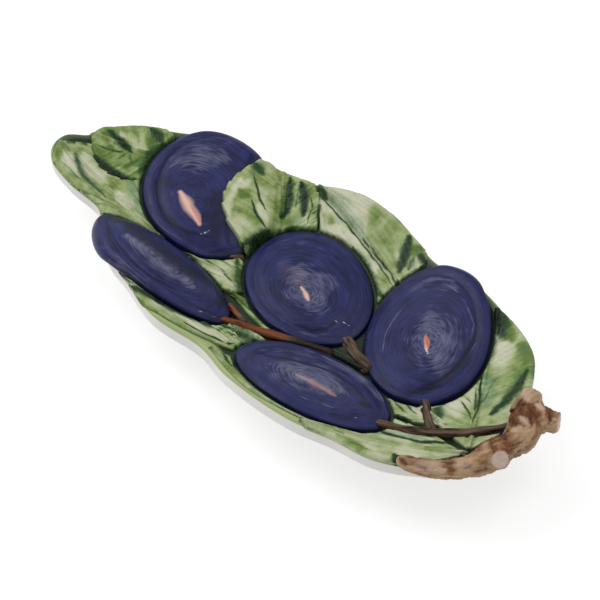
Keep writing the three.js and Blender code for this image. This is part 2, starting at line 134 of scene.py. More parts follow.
# Leaves: the blade
VEIN_SLANT = 0.55
LEAF_END = 0.0009
LEAF_BELLY = 0.45
LEAF_ROLL = 0.0016
LEAF_DRAPE = 0.003
LEAF_OVERHANG = 0.0030
LAYER_RISE = 0.0009
LEAF_CELL = (0.5 * MM, 0.4 * MM)
LEAST_CELLS = 24

# Leaves: the midrib with a groove on each side, and the side veins
RIB_WIDTH = 0.8 * MM
RIB_GROOVE = 1.8 * MM
RIB_GROOVE_WIDTH = 0.7 * MM
RIB_GROOVE_SHARE = 0.8
VEIN_WIDTH = 0.8 * MM
VEIN_START = 3 * MM
LENGTHWISE_VEINS = 4

# Leaves: how the blade tucks under a plum, rolls down at its edge and eases to the rim
TUCK_WIDTH = 1.8 * MM
BURIED_DEPTH = 3 * MM
ROLLED_SHARE = 0.3
RIM_EASE = 6 * MM
RIM_PAST = 2 * MM
RIM_SKIN = 0.2 * MM
OVERHANG_SPARE = 1.0 * MM

# Leaves: usual strength of the green wash, and the dark paint along midrib, veins, plums and edge; along the
# plums it is painted shade where the leaf tucks under them
LEAF_WASH = 0.45
RIB_INK = 0.1
RIB_INK_OFFSET = 0.7 * MM
RIB_INK_WIDTH = 0.6 * MM
VEIN_INK = 0.12
VEIN_INK_WIDTH = 0.7 * MM
TUCK_SHADE = 0.9
TUCK_SHADE_WIDTH = 1.5 * MM
EDGE_INK = 0.25
EDGE_INK_WIDTH = 0.8 * MM

# Twigs: the strip, its lumps and furrows, and where along it the paint changes
TWIG_WIDTH = 0.005
TWIG_RISE = 0.0045
TWIG_LAP = 0.007
TWIG_BOW = 0.0045
STALK_WIDTH = 0.0042
STALK_RISE = 0.0038
STALK_LAP = 0.004
TWIG_TAPER = 0.2
TWIG_OVERHANG = 4 * MM
TWIG_END_POWER = 24
TWIG_END_SHARE = 0.35
TWIG_LUMP = 0.07
TWIG_LUMP_LENGTH = 2.3 * MM
FURROW = 0.08
FURROWS = 5
FURROW_TWIST = 9
TWIG_CHANGE = (0.3, 0.5)
TWIG_CELL = 0.5 * MM
TWIG_SIDES = 36
TWIG_SAMPLES = 30

# Branch: stations over the rim by direction in degrees and inset in millimetres, and its form
BRANCH_STATIONS = [(321, 2), (330, -1.5), (340, -2), (350, -1), (0, -1), (9, -1), (18, -1)]
BRANCH_DIAMETER = 0.013
BRANCH_TIP = 0.0055
BRANCH_TIP_ROUNDING = 0.07
BRANCH_TIP_SHARE = 0.45
BRANCH_SEAT = 0.0035
BRANCH_KNOT = 0.0013
BRANCH_SAG = 0.002
BRANCH_SAG_SHARE = 0.2
BRANCH_SAG_SPREAD = 0.25
BRANCH_BULGE = 0.002
BRANCH_BULGE_SHARE = 0.72
BRANCH_BULGE_SPREAD = 0.18
LOG_CELLS = (90, 40)

# Bark: knots as waves by rate, start and share, ridges round the log, and the grain's sizes and fractal
KNOT_WAVES = [(17, 0, 0.5), (9, 1, 0.4)]
BARK_RIDGES = 3
BARK_TWIST = 8
RIDGE_SHARE = 0.7
RIDGE_INSET = 0.4
TIP_NARROWING = 0.9
BARK_STATIONS = 160
BARK_LENGTH = 0.09
GRAIN_LENGTH = 0.010
GRAIN_WIDTH = 0.0035
GRAIN_FRACTAL = (0.6, 2.0, 4)
GRAIN_GAIN = 2
FUSE_CELL = 0.6 * MM
FUSE_PASSES = 3

# Stubs: share along the branch, direction, length and flare at the root, and how a sawn end is marked
STUB_DIAMETER = 0.008
STUB_SIDES = 40
SAWN_DEPTHS = (-0.9 * MM, -0.3 * MM)
SAWN_REACH = (0.42, 0.55)
SAWN_SMOOTHNESS = 0.8
STUBS = [
    (0.5, (0.6, -0.45, 0.45), 0.0085, 0.002),
    (0.95, (0.94, 0.49, 0.1), 0.0145, 0.004),
    (0.97, (-0.6, 1.0, 0.45), 0.0115, 0.0035),
]

# Glazes: gloss, how much it varies, and the part of a noise pattern that is spread over its full range
GLAZE_IOR = 1.5
GLAZE_SPECULAR = 0.14
WHITE_ROUGHNESS = 0.3
PLUM_ROUGHNESS = 0.34
LEAF_ROUGHNESS = 0.34
TWIG_ROUGHNESS = 0.4
BRANCH_ROUGHNESS = 0.42
ROUGHNESS_PLAY = 0.1
NOISE_RANGE = (0.3, 0.7)

# Stage: the table's half width, the paper's glow and greys as seen and as it lights the part, and the room
TABLE_HALF = 3.0
PAPER_ROUGHNESS = 0.9
PAPER_GLOW = 0.66
PAPER_SEEN = (0.42, 0.42, 0.42, 1)
PAPER_BOUNCE = (0.9, 0.9, 0.9, 1)
WHITE = (1, 1, 1, 1)
ROOM_LIGHT = 0.55
ROOM_SEEN = 0.45

# Lamps: name, place, size in metres and power in watts
LAMPS = [
    ("window", (-1.0, -0.35, 1.1), 1.0, 10.0),
    ("ceiling", (0.3, 0.35, 1.5), 1.2, 7.0),
]

# Brush strokes on each sprig: kind of paint, width in millimetres, strength, and pixels of the photograph;
# some kinds also carry painted highlights, glints and shade
STROKES = {
    "tip_leaf": [
        ("wash", 6, 0.0, [(64, 150), (70, 162), (80, 174)]),
        ("wash", 6, 0.05, [(83, 152), (92, 170), (102, 181)]),
        ("wash", 5, 0.05, [(118, 192), (130, 206)]),
        ("wash", 4, 0.8, [(54, 146), (58, 157)]),
        ("wash", 6, 0.85, [(110, 185), (119, 180)]),
        # Painted shade along the far-left plum's outline
        ("cool", 9, 0.8, [(133, 182), (137, 200), (141, 214)]),
        ("ink_and_shade", 3.2, 0.62, [(75, 152), (78, 165), (84, 176), (93, 185), (105, 196)]),
        ("ink_and_shade", 1.0, 0.5, [(57, 157), (70, 170), (85, 183), (100, 197)]),
        ("ink_and_shade", 1.0, 0.5, [(64, 175), (75, 183), (90, 192), (110, 203), (128, 213)]),
        ("ink_and_shade", 1.1, 0.5, [(93, 198), (115, 208), (135, 220)]),
        ("ink_and_shade", 1.1, 0.4, [(97, 190), (118, 203), (130, 212)]),
        ("ink_and_shade", 5.0, 0.75, [(66, 137), (73, 141)]),
        ("ink_and_shade", 3.5, 0.7, [(79, 138), (85, 143)]),
        # Painted shade along the far-left plum's outline
        ("ink_and_shade", 3.5, 0.5, [(139, 180), (141, 200), (146, 216)]),
    ],
    "far_left_leaf": [
        ("wash", 6, 0.25, [(120, 134), (135, 143), (144, 148)]),
        ("wash", 6, 0.3, [(112, 142), (122, 143)]),
        ("wash", 5, 0.3, [(118, 168), (135, 168)]),
        ("wash", 5, 0.9, [(104, 133), (111, 130)]),
        ("wash", 4, 0.9, [(108, 162), (124, 165), (138, 160)]),
        ("cool", 5, 0.8, [(86, 145), (96, 160), (112, 172), (134, 182)]),
        ("ink_and_shade", 5.0, 1.0, [(84, 139), (88, 150), (94, 158), (101, 164), (111, 171), (122, 177), (136, 183)]),
        ("ink_and_shade", 1.5, 0.75, [(97, 144), (110, 150), (123, 151)]),
        ("ink_and_shade", 3.8, 0.9, [(108, 130), (120, 140), (130, 151)]),
        ("ink_and_shade", 1.3, 0.75, [(117, 158), (127, 152)]),
        ("ink_and_shade", 1.3, 0.6, [(132, 163), (128, 153)]),
        ("ink_and_shade", 1.5, 0.5, [(124, 166), (136, 160), (148, 152)]),
        ("ink_and_shade", 5.5, 0.85, [(150, 127), (157, 135), (161, 141)]),
        ("ink_and_shade", 4.0, 0.75, [(138, 172), (145, 160), (151, 150), (162, 142)]),
        ("ink_and_shade", 2.0, 0.8, [(132, 177), (137, 181)]),
    ],
    "far_middle_leaf": [
        ("wash", 6, 0.1, [(242, 181), (247, 186)]),
        ("wash", 3, 0.0, [(241, 178), (233, 190), (229, 202), (228, 216), (228, 230), (233, 243)]),
        ("wash", 6, 0.25, [(235, 212), (238, 232)]),
        ("wash", 5, 0.8, [(240, 190), (247, 195)]),
        ("wash", 5, 0.7, [(270, 195), (276, 210)]),
        ("wash", 3, 0.0, [(258, 206), (266, 220)]),
        ("ink_and_shade", 5.0, 0.75, [(253, 162), (262, 173)]),
        ("ink_and_shade", 1.5, 0.9, [(253, 175), (257, 188), (260, 200), (265, 209)]),
        ("ink_and_shade", 1.8, 0.9, [(251, 199), (254, 210), (258, 218), (265, 226)]),
        ("ink_and_shade", 4.2, 0.9, [(289, 178), (289, 198), (286, 211), (280, 218)]),
        ("ink_and_shade", 4.2, 0.95, [(301, 182), (304, 198), (303, 214)]),
        ("ink_and_shade", 1.6, 0.6, [(297, 192), (295, 207)]),
        ("ink_and_shade", 1.4, 0.7, [(310, 196), (312, 207), (307, 222)]),
        ("ink_and_shade", 2.0, 0.9, [(318, 203), (318, 220), (320, 236)]),
        ("ink_and_shade", 1.0, 0.7, [(311, 214), (317, 210)]),
        ("ink_and_shade", 1.0, 0.7, [(310, 224), (317, 219)]),
        ("cool", 6, 0.8, [(293, 226), (303, 219)]),
        ("ink_and_shade", 3.6, 0.9, [(238, 247), (255, 237), (270, 232), (290, 229), (312, 231)]),
    ],
    "far_right_leaf": [
        ("wash", 9, 0.0, [(322, 205), (340, 232), (358, 247), (372, 268)]),
        ("wash", 6, 0.55, [(325, 215), (331, 222)]),
        ("wash", 4, 0.7, [(380, 270), (388, 287)]),
        ("cool", 9, 0.75, [(328, 194), (345, 211), (362, 232)]),
        ("wash", 10, 0.0, [(338, 192), (356, 206), (366, 222)]),
        ("wash", 14, 0.6, [(374, 212), (386, 234), (390, 258)]),
        ("wash", 6, 0.8, [(414, 246), (419, 254)]),
        ("ink_and_shade", 4.2, 0.8, [(313, 185), (320, 191), (326, 198)]),
        ("ink_and_shade", 1.1, 0.9, [(313, 188), (325, 201), (345, 222), (365, 247), (380, 265), (394, 287)]),
        ("ink_and_shade", 3.2, 0.35, [(322, 189), (332, 201), (350, 219), (368, 242), (386, 267)]),
        ("ink_and_shade", 1.0, 0.8, [(362, 238), (376, 255), (388, 271), (397, 284)]),
        ("wash", 1.2, 0.0, [(366, 245), (380, 263), (394, 282)]),
        ("ink_and_shade", 4.5, 0.9, [(409, 236), (406, 254), (399, 271)]),
        ("ink_and_shade", 3.0, 0.6, [(414, 257), (408, 269)]),
        ("ink_and_shade", 3.0, 0.95, [(419, 255), (427, 262)]),
        # Painted shadow along the far-right plum's outline
        ("ink_and_shade", 2.6, 0.85, [(425, 264), (410, 276), (398, 288)]),
        # Painted shadow along the centre plum's outline
        ("ink_and_shade", 3.2, 0.75, [(352, 247), (363, 260), (371, 276), (377, 292), (388, 299)]),
    ],
    "right_end_leaf": [
        ("wash", 10, 0.0, [(500, 340), (504, 362)]),
        ("wash", 9, 0.85, [(524, 346), (528, 360), (520, 374)]),
        ("wash", 8, 0.65, [(505, 378), (493, 398)]),
        ("wash", 7, 0.05, [(452, 402), (458, 414)]),
        # Cool wash laid as painted shade
        ("cool", 8, 0.8, [(486, 380), (489, 402)]),
        ("cool", 6, 0.9, [(438, 402), (441, 420)]),
        # Painted shade along the far-right plum's outline
        ("ink_and_shade", 5.0, 1.0, [(492, 303), (491, 330), (487, 355), (482, 373)]),
        ("ink_and_shade", 8.5, 0.95, [(494, 302), (499, 318), (503, 334)]),
        ("wash", 6, 1.0, [(506, 320), (513, 340)]),
        ("ink_and_shade", 4.2, 0.85, [(528, 371), (518, 389), (507, 401), (493, 414)]),
        ("ink_and_shade", 1.7, 0.9, [(482, 376), (481, 395), (479, 410), (474, 423)]),
        ("ink_and_shade", 1.5, 0.8, [(477, 390), (476, 411)]),
        ("ink_and_shade", 1.3, 0.75, [(462, 402), (468, 410), (473, 419)]),
        ("ink_and_shade", 1.2, 0.6, [(466, 397), (472, 404)]),
        ("ink_and_shade", 1.2, 0.6, [(490, 392), (483, 402)]),
        ("ink_and_shade", 1.2, 0.5, [(497, 380), (489, 391)]),
        ("ink_and_shade", 4.5, 0.7, [(437, 402), (440, 421)]),
        ("wash", 1.6, 0.0, [(468, 390), (480, 377)]),
    ],
    "near_right_leaf": [
        ("wash", 5, 0.7, [(428, 449), (458, 449)]),
        ("wash", 7, 0.1, [(400, 450), (425, 456)]),
        ("wash", 3, 0.75, [(340, 434), (368, 449)]),
        ("cool", 5, 0.9, [(372, 430), (400, 436), (430, 440)]),
        ("ink_and_shade", 2.8, 0.9, [(376, 430), (396, 436), (420, 442), (448, 443), (466, 448)]),
        ("ink_and_shade", 2.0, 0.7, [(405, 431), (430, 437), (455, 436)]),
        ("wash", 1.2, 0.0, [(380, 428), (402, 434), (430, 439), (458, 443)]),
        ("ink_and_shade", 4.0, 0.9, [(396, 455), (404, 463)]),
        ("ink_and_shade", 1.2, 0.5, [(352, 441), (372, 450)]),
    ],
    "twig_leaf": [
        ("wash", 5, 0.1, [(418, 408), (421, 416)]),
        ("ink_and_shade", 1.2, 0.8, [(394, 402), (408, 413)]),
        ("ink_and_shade", 1.2, 0.8, [(404, 402), (418, 415)]),
        ("ink_and_shade", 2.6, 0.8, [(393, 414), (412, 421)]),
    ],
    "centre_left_leaf": [
        ("wash", 5, 0.9, [(175, 246), (186, 252)]),
        ("wash", 5, 0.25, [(190, 258), (215, 270), (232, 284)]),
        ("ink_and_shade", 1.4, 0.75, [(186, 249), (205, 258), (222, 270), (236, 286)]),
        ("ink_and_shade", 1.2, 0.6, [(182, 255), (200, 266), (220, 276)]),
        ("ink_and_shade", 1.2, 0.6, [(200, 250), (218, 258), (234, 268)]),
        ("ink_and_shade", 3.5, 0.7, [(236, 256), (238, 276), (241, 296)]),
    ],
    "stalk_leaf_upper": [
        ("wash", 3, 0.9, [(246, 314), (256, 322)]),
        ("ink_and_shade", 1.6, 0.7, [(240, 300), (262, 320), (284, 334)]),
        # Painted shade in the gap between the centre plum and the near-right plum
        ("ink_and_shade", 15, 1.0, [(300, 338), (338, 354), (376, 382)]),
    ],
    "stalk_leaf_lower": [
        ("cool", 10, 1.0, [(212, 322), (235, 332), (256, 340)]),
        ("ink_and_shade", 9, 0.62, [(208, 319), (235, 332), (260, 342)]),
    ],
    "near_left_leaf": [
        ("wash", 4, 0.85, [(134, 292), (146, 304), (158, 314)]),
        ("wash", 4, 0.05, [(192, 322), (210, 332), (226, 340)]),
        ("cool", 6, 0.9, [(150, 298), (175, 311), (200, 322)]),
        ("ink_and_shade", 3.2, 0.95, [(128, 280), (150, 297), (175, 310), (200, 321), (218, 330)]),
        ("wash", 1.1, 0.0, [(163, 304), (180, 316), (202, 326)]),
        ("ink_and_shade", 1.0, 0.85, [(162, 315), (180, 328), (202, 341)]),
        ("ink_and_shade", 1.9, 0.9, [(184, 322), (200, 331), (220, 340), (234, 345)]),
        ("ink_and_shade", 1.1, 0.6, [(190, 331), (215, 343), (228, 353)]),
    ],
    "near_rim_leaf": [
        ("ink_and_shade", 1.0, 0.5, [(206, 346), (226, 370), (256, 398)]),
        ("wash", 2, 0.8, [(204, 342), (222, 366), (250, 392), (300, 424)]),
        ("ink_and_shade", 2.2, 0.8, [(209, 340), (222, 352), (232, 366)]),
    ],
    # On the plums, thin pale lines along the outlines and beside the sutures are painted highlights, glint
    # strokes are painted glints, and the dark suture lines are partly painted shade in the grooves
    "plum_far_left": [
        ("bloom_and_highlight", 16, 0.75, [(178, 162), (200, 154), (224, 158)]),
        ("bloom_and_highlight", 5, 0.35, [(152, 160), (147, 182), (150, 204)]),
        # Painted highlight along the lower outline
        ("bloom_and_highlight", 1.0, 0.7, [(150, 212), (162, 228), (182, 241)]),
        ("ink_and_shade", 6, 0.5, [(160, 176), (174, 187)]),
        ("ink_and_shade", 12, 0.75, [(217, 194), (213, 215), (216, 238)]),
        # Painted shadow cast by the far-middle leaf where it lies over this plum
        ("ink_and_shade", 4.5, 0.95, [
            (251, 155), (247, 168), (238, 181), (231, 193), (226, 206), (225, 222), (228, 242),
        ]),
        ("ink_and_shade", 2.8, 1.0, [
            (178, 147), (166, 157), (160, 170), (157, 186), (158, 202), (164, 215), (174, 225), (188, 232),
            (208, 237),
        ]),
        ("flesh", 3.8, 1.0, [(180, 192), (189, 207), (199, 223)]),
        ("ember", 1.8, 0.8, [(190, 205), (195, 213), (200, 223)]),
        ("glint", 0.9, 0.9, [(200, 234), (209, 230)]),
    ],
    "plum_near_left": [
        # Painted shade over the plum's far side
        ("ink_and_shade", 9.0, 0.85, [
            (112, 216), (132, 227), (150, 240), (168, 255), (186, 269), (206, 280), (228, 292),
        ]),
        # Painted highlight along the plum's ridge
        ("bloom_and_highlight", 9.0, 0.95, [(128, 236), (150, 253), (170, 270), (194, 288)]),
        ("ink_and_shade", 1.8, 1.0, [(106, 222), (108, 236), (118, 250), (135, 265), (152, 277), (174, 289)]),
        ("ink_and_shade", 0.9, 0.6, [(124, 248), (145, 268), (166, 281), (192, 293)]),
        ("ink_and_shade", 6.0, 0.85, [(221, 287), (225, 298), (219, 307)]),
        # Pale band on the near flank, partly painted highlight
        ("bloom_and_highlight", 5.0, 0.6, [(112, 256), (130, 276), (152, 291)]),
        ("glint", 0.7, 0.9, [(198, 311), (207, 312)]),
        ("glint", 0.6, 0.8, [(211, 316), (217, 317)]),
    ],
    "plum_centre": [
        ("bloom_and_highlight", 19, 0.85, [(298, 270), (308, 286), (318, 304)]),
        ("flesh", 16, 0.12, [(282, 264), (302, 286)]),
        # Painted highlight along the left outline
        ("bloom_and_highlight", 1.0, 0.7, [(247, 255), (241, 272), (242, 288), (252, 305), (268, 322), (287, 333)]),
        ("bloom_and_highlight", 2.0, 0.4, [(262, 250), (286, 243), (318, 243)]),
        ("ink_and_shade", 2.4, 1.0, [(294, 324), (312, 331), (326, 329), (338, 321)]),
        # Painted highlight on the lip below the suture
        ("bloom_and_highlight", 1.6, 0.6, [(298, 331), (315, 336), (332, 335)]),
        ("ink_and_shade", 4, 0.5, [(330, 260), (346, 275), (352, 294)]),
        ("ink_and_shade", 4, 0.5, [(270, 283), (280, 300), (302, 314)]),
        ("flesh", 2.2, 1.0, [(301, 287), (309, 300)]),
        ("glint", 0.6, 0.9, [(335, 320), (340, 325)]),
        ("glint", 0.7, 0.9, [(343, 322), (350, 326)]),
        ("glint", 0.6, 0.8, [(355, 329), (354, 335)]),
    ],
    "plum_near_right": [
        # Pale upper band beside the suture, partly painted reflection
        ("bloom_and_highlight", 6.0, 0.75, [(262, 350), (300, 353), (335, 363), (362, 380), (381, 399)]),
        ("bloom_and_highlight", 20, 0.85, [(282, 366), (306, 374), (338, 390)]),
        ("ink_and_shade", 2.6, 1.0, [
            (254, 353), (272, 357), (292, 360), (312, 365), (332, 372), (350, 383), (367, 400),
        ]),
        ("flesh", 3.6, 0.36, [(298, 375), (320, 386), (336, 396)]),
        ("ember", 1.3, 0.6, [(312, 383), (324, 389)]),
        ("bloom_and_highlight", 1.7, 0.7, [(302, 397), (320, 403), (337, 410)]),
        ("ink_and_shade", 4.0, 0.5, [(318, 413), (345, 418), (366, 416)]),
        ("ink_and_shade", 3.5, 0.95, [(361, 403), (373, 408)]),
        ("glint", 0.7, 0.6, [(351, 418), (358, 418)]),
    ],
    "plum_far_right": [
        # Painted highlight along the left outline
        ("bloom_and_highlight", 1.1, 0.9, [(383, 354), (385, 338), (391, 323), (401, 311), (412, 302)]),
        ("bloom_and_highlight", 9, 0.5, [(416, 287), (436, 279), (456, 287)]),
        ("bloom_and_highlight", 18, 0.85, [(428, 318), (438, 342), (440, 368)]),
        ("ink_and_shade", 6, 0.45, [(459, 316), (463, 335), (456, 354)]),
        ("ink_and_shade", 6, 0.4, [(414, 318), (410, 345), (418, 370)]),
        ("ink_and_shade", 2.9, 1.0, [(478, 328), (474, 342), (466, 356), (454, 371), (440, 381), (423, 388)]),
        # Painted highlight on the lip beside the suture
        ("bloom_and_highlight", 1.3, 0.9, [(477, 343), (463, 362), (448, 376)]),
        # Painted highlight along the upper outline
        ("bloom_and_highlight", 1.2, 0.9, [(437, 278), (455, 290), (468, 306), (474, 325), (471, 342)]),
        ("ink_and_shade", 3.2, 0.95, [(411, 394), (425, 390), (443, 386)]),
        ("flesh", 2.4, 0.9, [(426, 336), (427, 351)]),
        ("ember", 2.6, 1.0, [(426, 336), (428, 347)]),
        ("glint", 1.1, 1.0, [(427, 349), (429, 355)]),
        ("glint", 0.9, 0.6, [(399, 395), (412, 393)]),
    ],
    "branch": [
        ("dark", 4, 0.9, [(402, 460), (408, 466)]),
        ("dark", 2, 0.7, [(410, 458), (430, 459), (450, 455), (466, 450)]),
        ("brown", 5, 0.5, [(449, 456), (453, 476)]),
        ("brown", 6, 1.0, [(464, 453), (474, 444), (484, 436)]),
        ("dark", 3, 0.7, [(468, 449), (478, 440)]),
        ("brown", 5, 1.0, [(489, 434), (497, 450)]),
        ("brown", 9, 1.0, [(499, 428), (507, 438), (511, 450)]),
        ("brown", 9, 1.0, [(512, 424), (524, 410), (537, 415)]),
        ("dark", 2.5, 0.8, [(502, 432), (508, 441)]),
        ("dark", 2.5, 0.7, [(511, 421), (518, 424)]),
        ("dark", 1.5, 0.7, [(490, 440), (495, 452)]),
        ("dark", 1.5, 0.8, [(526, 402), (531, 410), (537, 417)]),
        ("dark", 1.3, 0.7, [(512, 410), (518, 416)]),
        ("brown", 4, 0.9, [(546, 406), (551, 412), (552, 420)]),
        ("brown", 4, 0.45, [(478, 472), (488, 463)]),
        ("brown", 3, 0.7, [(508, 452), (516, 440)]),
        # Pale strokes: partly the wood's paler tan, partly painted highlights
        ("light", 5, 0.6, [(418, 466), (446, 471)]),
        ("light", 5, 0.55, [(458, 467), (476, 468)]),
        # Painted highlights along the bark
        ("light", 3, 0.8, [(499, 434), (508, 424)]),
        ("light", 3, 0.8, [(522, 418), (530, 425)]),
        ("light", 2.5, 0.9, [(537, 405), (546, 410)]),
        ("light", 5, 0.6, [(525, 389), (529, 400)]),
        ("light", 3, 0.6, [(513, 432), (522, 428)]),
    ],
}

# How strokes are laid: kinds that cover what is under them, crisp kinds, and the width of a fine line
LAID_OVER = {"wash", "cool"}
CRISP = {"glint", "ember", "dark"}
FINE_LINE = 3.0
CRISP_SPREAD = 1.7
SOFT_SPREAD = 2.4

# How uneven a stroke is: how far and over which lengths it wobbles, and how its width varies and thins
WOBBLE = 0.25 * MM
WOBBLE_LUMPS = (17 * MM, 13 * MM)
UNEVEN = 0.2
UNEVEN_LUMPS = 11 * MM
STROKE_END = 0.25
STROKE_END_SHARE = 0.02

# Pixels of the photograph that the brush goes round on each plum
PLUM_EYES = {
    "plum_far_left": (192, 200),
    "plum_near_left": (160, 258),
    "plum_centre": (304, 292),
    "plum_near_right": (316, 384),
    "plum_far_right": (428, 344),
}


def linear(hex_colour):
    """Linear RGBA of an sRGB hex colour."""
    channels = [int(hex_colour[i:i + 2], 16) / 255 for i in (0, 2, 4)]
    return tuple(c / 12.92 if c <= 0.04045 else ((c + 0.055) / 1.055) ** 2.4 for c in channels) + (1.0,)


def smooth(value, low, high):
    """Smooth step from 0 at low to 1 at high."""
    share = np.clip((value - low) / (high - low), 0, 1)
    return share * share * (3 - 2 * share)


def bell(offset, width):
    """Bell curve of an offset: 1 on the line and about a third at its width."""
    return np.exp(-(offset / width) ** 2)


# Bowl and rim

def bowl(plan):
    """Height of the bowl's inner surface over plan points."""
    reach = np.hypot(plan[..., 0] / (RIM_LENGTH / 2), plan[..., 1] / (RIM_WIDTH / 2))
    return FOOT_HEIGHT + SHELL_THICKNESS + BOWL_DEPTH * reach ** BOWL_CURVE


def spot(along, across):
    """Place in the bowl: shares of the way from the middle to the plain oval, along it and across it."""
    return np.array([along * RIM_LENGTH / 2, across * RIM_WIDTH / 2])


def rim_lobe(turn):
    """How far the rim stands out in a direction, on a smooth curve through the lobes."""
    angles = np.radians([angle for angle, _ in RIM_LOBES])
    outs = np.array([out for _, out in RIM_LOBES]) * MM
    angles = np.concatenate([angles[-2:] - TAU, angles, angles[:2] + TAU])
    outs = np.concatenate([outs[-2:], outs, outs[:2]])
    slopes = (outs[2:] - outs[:-2]) / (angles[2:] - angles[:-2])
    turn = np.mod(turn, TAU)
    at = np.minimum(np.searchsorted(angles, turn, side="right") - 1, len(angles) - 3)
    span = angles[at + 1] - angles[at]
    share = (turn - angles[at]) / span
    leave = slopes[at - 1] * span
    arrive = slopes[at] * span
    step = outs[at + 1] - outs[at]
    bend = 3 * step - 2 * leave - arrive
    twist = leave + arrive - 2 * step
    return outs[at] + leave * share + bend * share ** 2 + twist * share ** 3


def oval(turn):
    """Point of the plain oval in a direction."""
    return np.stack([RIM_LENGTH / 2 * np.cos(turn), RIM_WIDTH / 2 * np.sin(turn)], -1)


def rim_normal(turn):
    """Direction straight out from the plain oval."""
    out = np.stack([np.cos(turn) / RIM_LENGTH, np.sin(turn) / RIM_WIDTH], -1)
    return out / np.linalg.norm(out, axis=-1, keepdims=True)


def rim_point(degrees, inset=0.0):
    """Point of the rim in a direction, moved inwards by an inset."""
    turn = np.radians(degrees)
    return oval(turn) + rim_normal(turn) * np.expand_dims(rim_lobe(turn) - inset, -1)


def rim_turn(plan):
    """Direction in which each plan point lies straight out from the plain oval."""
    turn = np.arctan2(plan[:, 1] / RIM_WIDTH, plan[:, 0] / RIM_LENGTH)
    for _ in range(TURN_STEPS):
        tangent = np.stack([-RIM_LENGTH / 2 * np.sin(turn), RIM_WIDTH / 2 * np.cos(turn)], -1)
        step = ((plan - oval(turn)) * tangent).sum(-1) / (tangent ** 2).sum(-1)
        turn = turn + np.clip(step, -TURN_LIMIT, TURN_LIMIT)
    return turn


def rim_margin(plan):
    """How far inside the rim each plan point lies."""
    turn = rim_turn(plan)
    return ((rim_point(np.degrees(turn)) - plan) * rim_normal(turn)).sum(-1)


def lay(plan, rise, overhang):
    """Points at a rise over the dish: past the lip they bend down round the rim, up to an overhang."""
    turn = rim_turn(plan)
    out = rim_normal(turn)
    lip = rim_point(np.degrees(turn), RIM_ROUNDING)
    travel = np.clip(((plan - lip) * out).sum(-1), 0, overhang)
    bend = np.clip(travel / RIM_ROUNDING, 0, math.pi / 2)
    down = np.maximum(travel - RIM_ROUNDING * math.pi / 2, 0)
    over = lip + out * ((RIM_ROUNDING + rise) * np.sin(bend))[:, None]
    over_height = bowl(lip) - RIM_ROUNDING + (RIM_ROUNDING + rise) * np.cos(bend) - down
    inside = travel <= 0
    flat = np.where(inside[:, None], plan, over)
    height = np.where(inside, bowl(plan) + rise, over_height)
    return np.column_stack([flat, height])


# From the bowl's middle to the part's origin: the corner of the dish's box less that of the rim
RIM_CORNER = rim_point(np.arange(0, 360, SOLID_RIM_STEP)).min(0)
SHIFT = np.append(np.array(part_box("dish_body")[0][:2]) - RIM_CORNER, 0.0)


# Painting from the photograph's viewpoint

def view_axes():
    """Directions back to the camera, to the right and up in the photograph's view."""
    level = math.cos(VIEW_ELEVATION)
    ahead = (math.sin(VIEW_AZIMUTH) * level, -math.cos(VIEW_AZIMUTH) * level)
    back = np.array([*ahead, math.sin(VIEW_ELEVATION)])
    right = np.array([math.cos(VIEW_AZIMUTH), math.sin(VIEW_AZIMUTH), 0.0])
    return back, right, np.cross(back, right)


def from_photo(pixels, rise):
    """Plan points under pixels of the photograph, on a surface at a rise over the bowl."""
    back, right, up = view_axes()
    eye = VIEW_TARGET + VIEW_DISTANCE * back
    offset = (pixels - VIEW_TARGET_PX) / VIEW_FOCAL_PX
    rays = offset[:, :1] * right - offset[:, 1:] * up - back
    reach = np.full(len(rays), VIEW_DISTANCE)
    for _ in range(RAY_STEPS):
        points = eye + rays * reach[:, None]
        plan = points[:, :2]
        reach += RAY_EASE * (points[:, 2] - bowl(plan) - rise(plan)) / -rays[:, 2]
    return plan


def wander(plan, size):
    """Uneven value from -1 to 1 over plan points, with lumps of about a size."""
    x, y = plan.T * TAU / size
    return (np.sin(x + 1.7 * np.sin(0.6 * y)) + np.sin(1.3 * y + 2.1 * np.sin(0.7 * x + 1))) / 2


def stroke(plan, line, width, spread):
    """Mask of a brush stroke along a line of plan points, with uneven edges that spread and thinner ends."""
    ahead, aside = WOBBLE_LUMPS
    plan = plan + WOBBLE * np.column_stack([wander(plan, ahead), wander(plan[:, ::-1], aside)])
    uneven = 1 + UNEVEN * wander(plan, UNEVEN_LUMPS)
    steps = np.linalg.norm(np.diff(line, axis=0), axis=1)
    starts = np.concatenate([[0], np.cumsum(steps)]) / steps.sum()
    mask = np.zeros(len(plan))
    for at, (start, end) in enumerate(zip(line[:-1], line[1:])):
        step = end - start
        share = np.clip((plan - start) @ step / (step @ step), 0, 1)
        distance = np.linalg.norm(plan - start - share[:, None] * step, axis=1)
        place = starts[at] + share * (starts[at + 1] - starts[at])
        place = np.clip(place, STROKE_END_SHARE, 1 - STROKE_END_SHARE)
        half = width / 2 * uneven * (STROKE_END + (1 - STROKE_END) * np.sqrt(np.sin(math.pi * place)))
        mask = np.maximum(mask, 1 - smooth(distance, 0, spread * half))
    return mask


def to_photo(points):
    """Where points lie in the photograph's view, in metres at the distance of its target."""
    back, right, up = view_axes()
    offset = points - VIEW_TARGET - VIEW_DISTANCE * back
    return np.column_stack([offset @ right, -offset @ up]) * (-VIEW_DISTANCE / (offset @ back))[:, None]


def add_strokes(name, plan, find, paint):
    """Lays a sprig's brush strokes into its paint values: find turns pixels into places like the plan's."""
    for kind, width, strength, pixels in STROKES.get(name, ()):
        spread = CRISP_SPREAD if kind in CRISP or width < FINE_LINE else SOFT_SPREAD
        mask = stroke(plan, find(np.array(pixels, float)), width * MM, spread)
        if kind in LAID_OVER:
            paint[kind] += mask * (strength - paint[kind])
        else:
            paint[kind] = np.maximum(paint[kind], mask * strength)


# Meshes

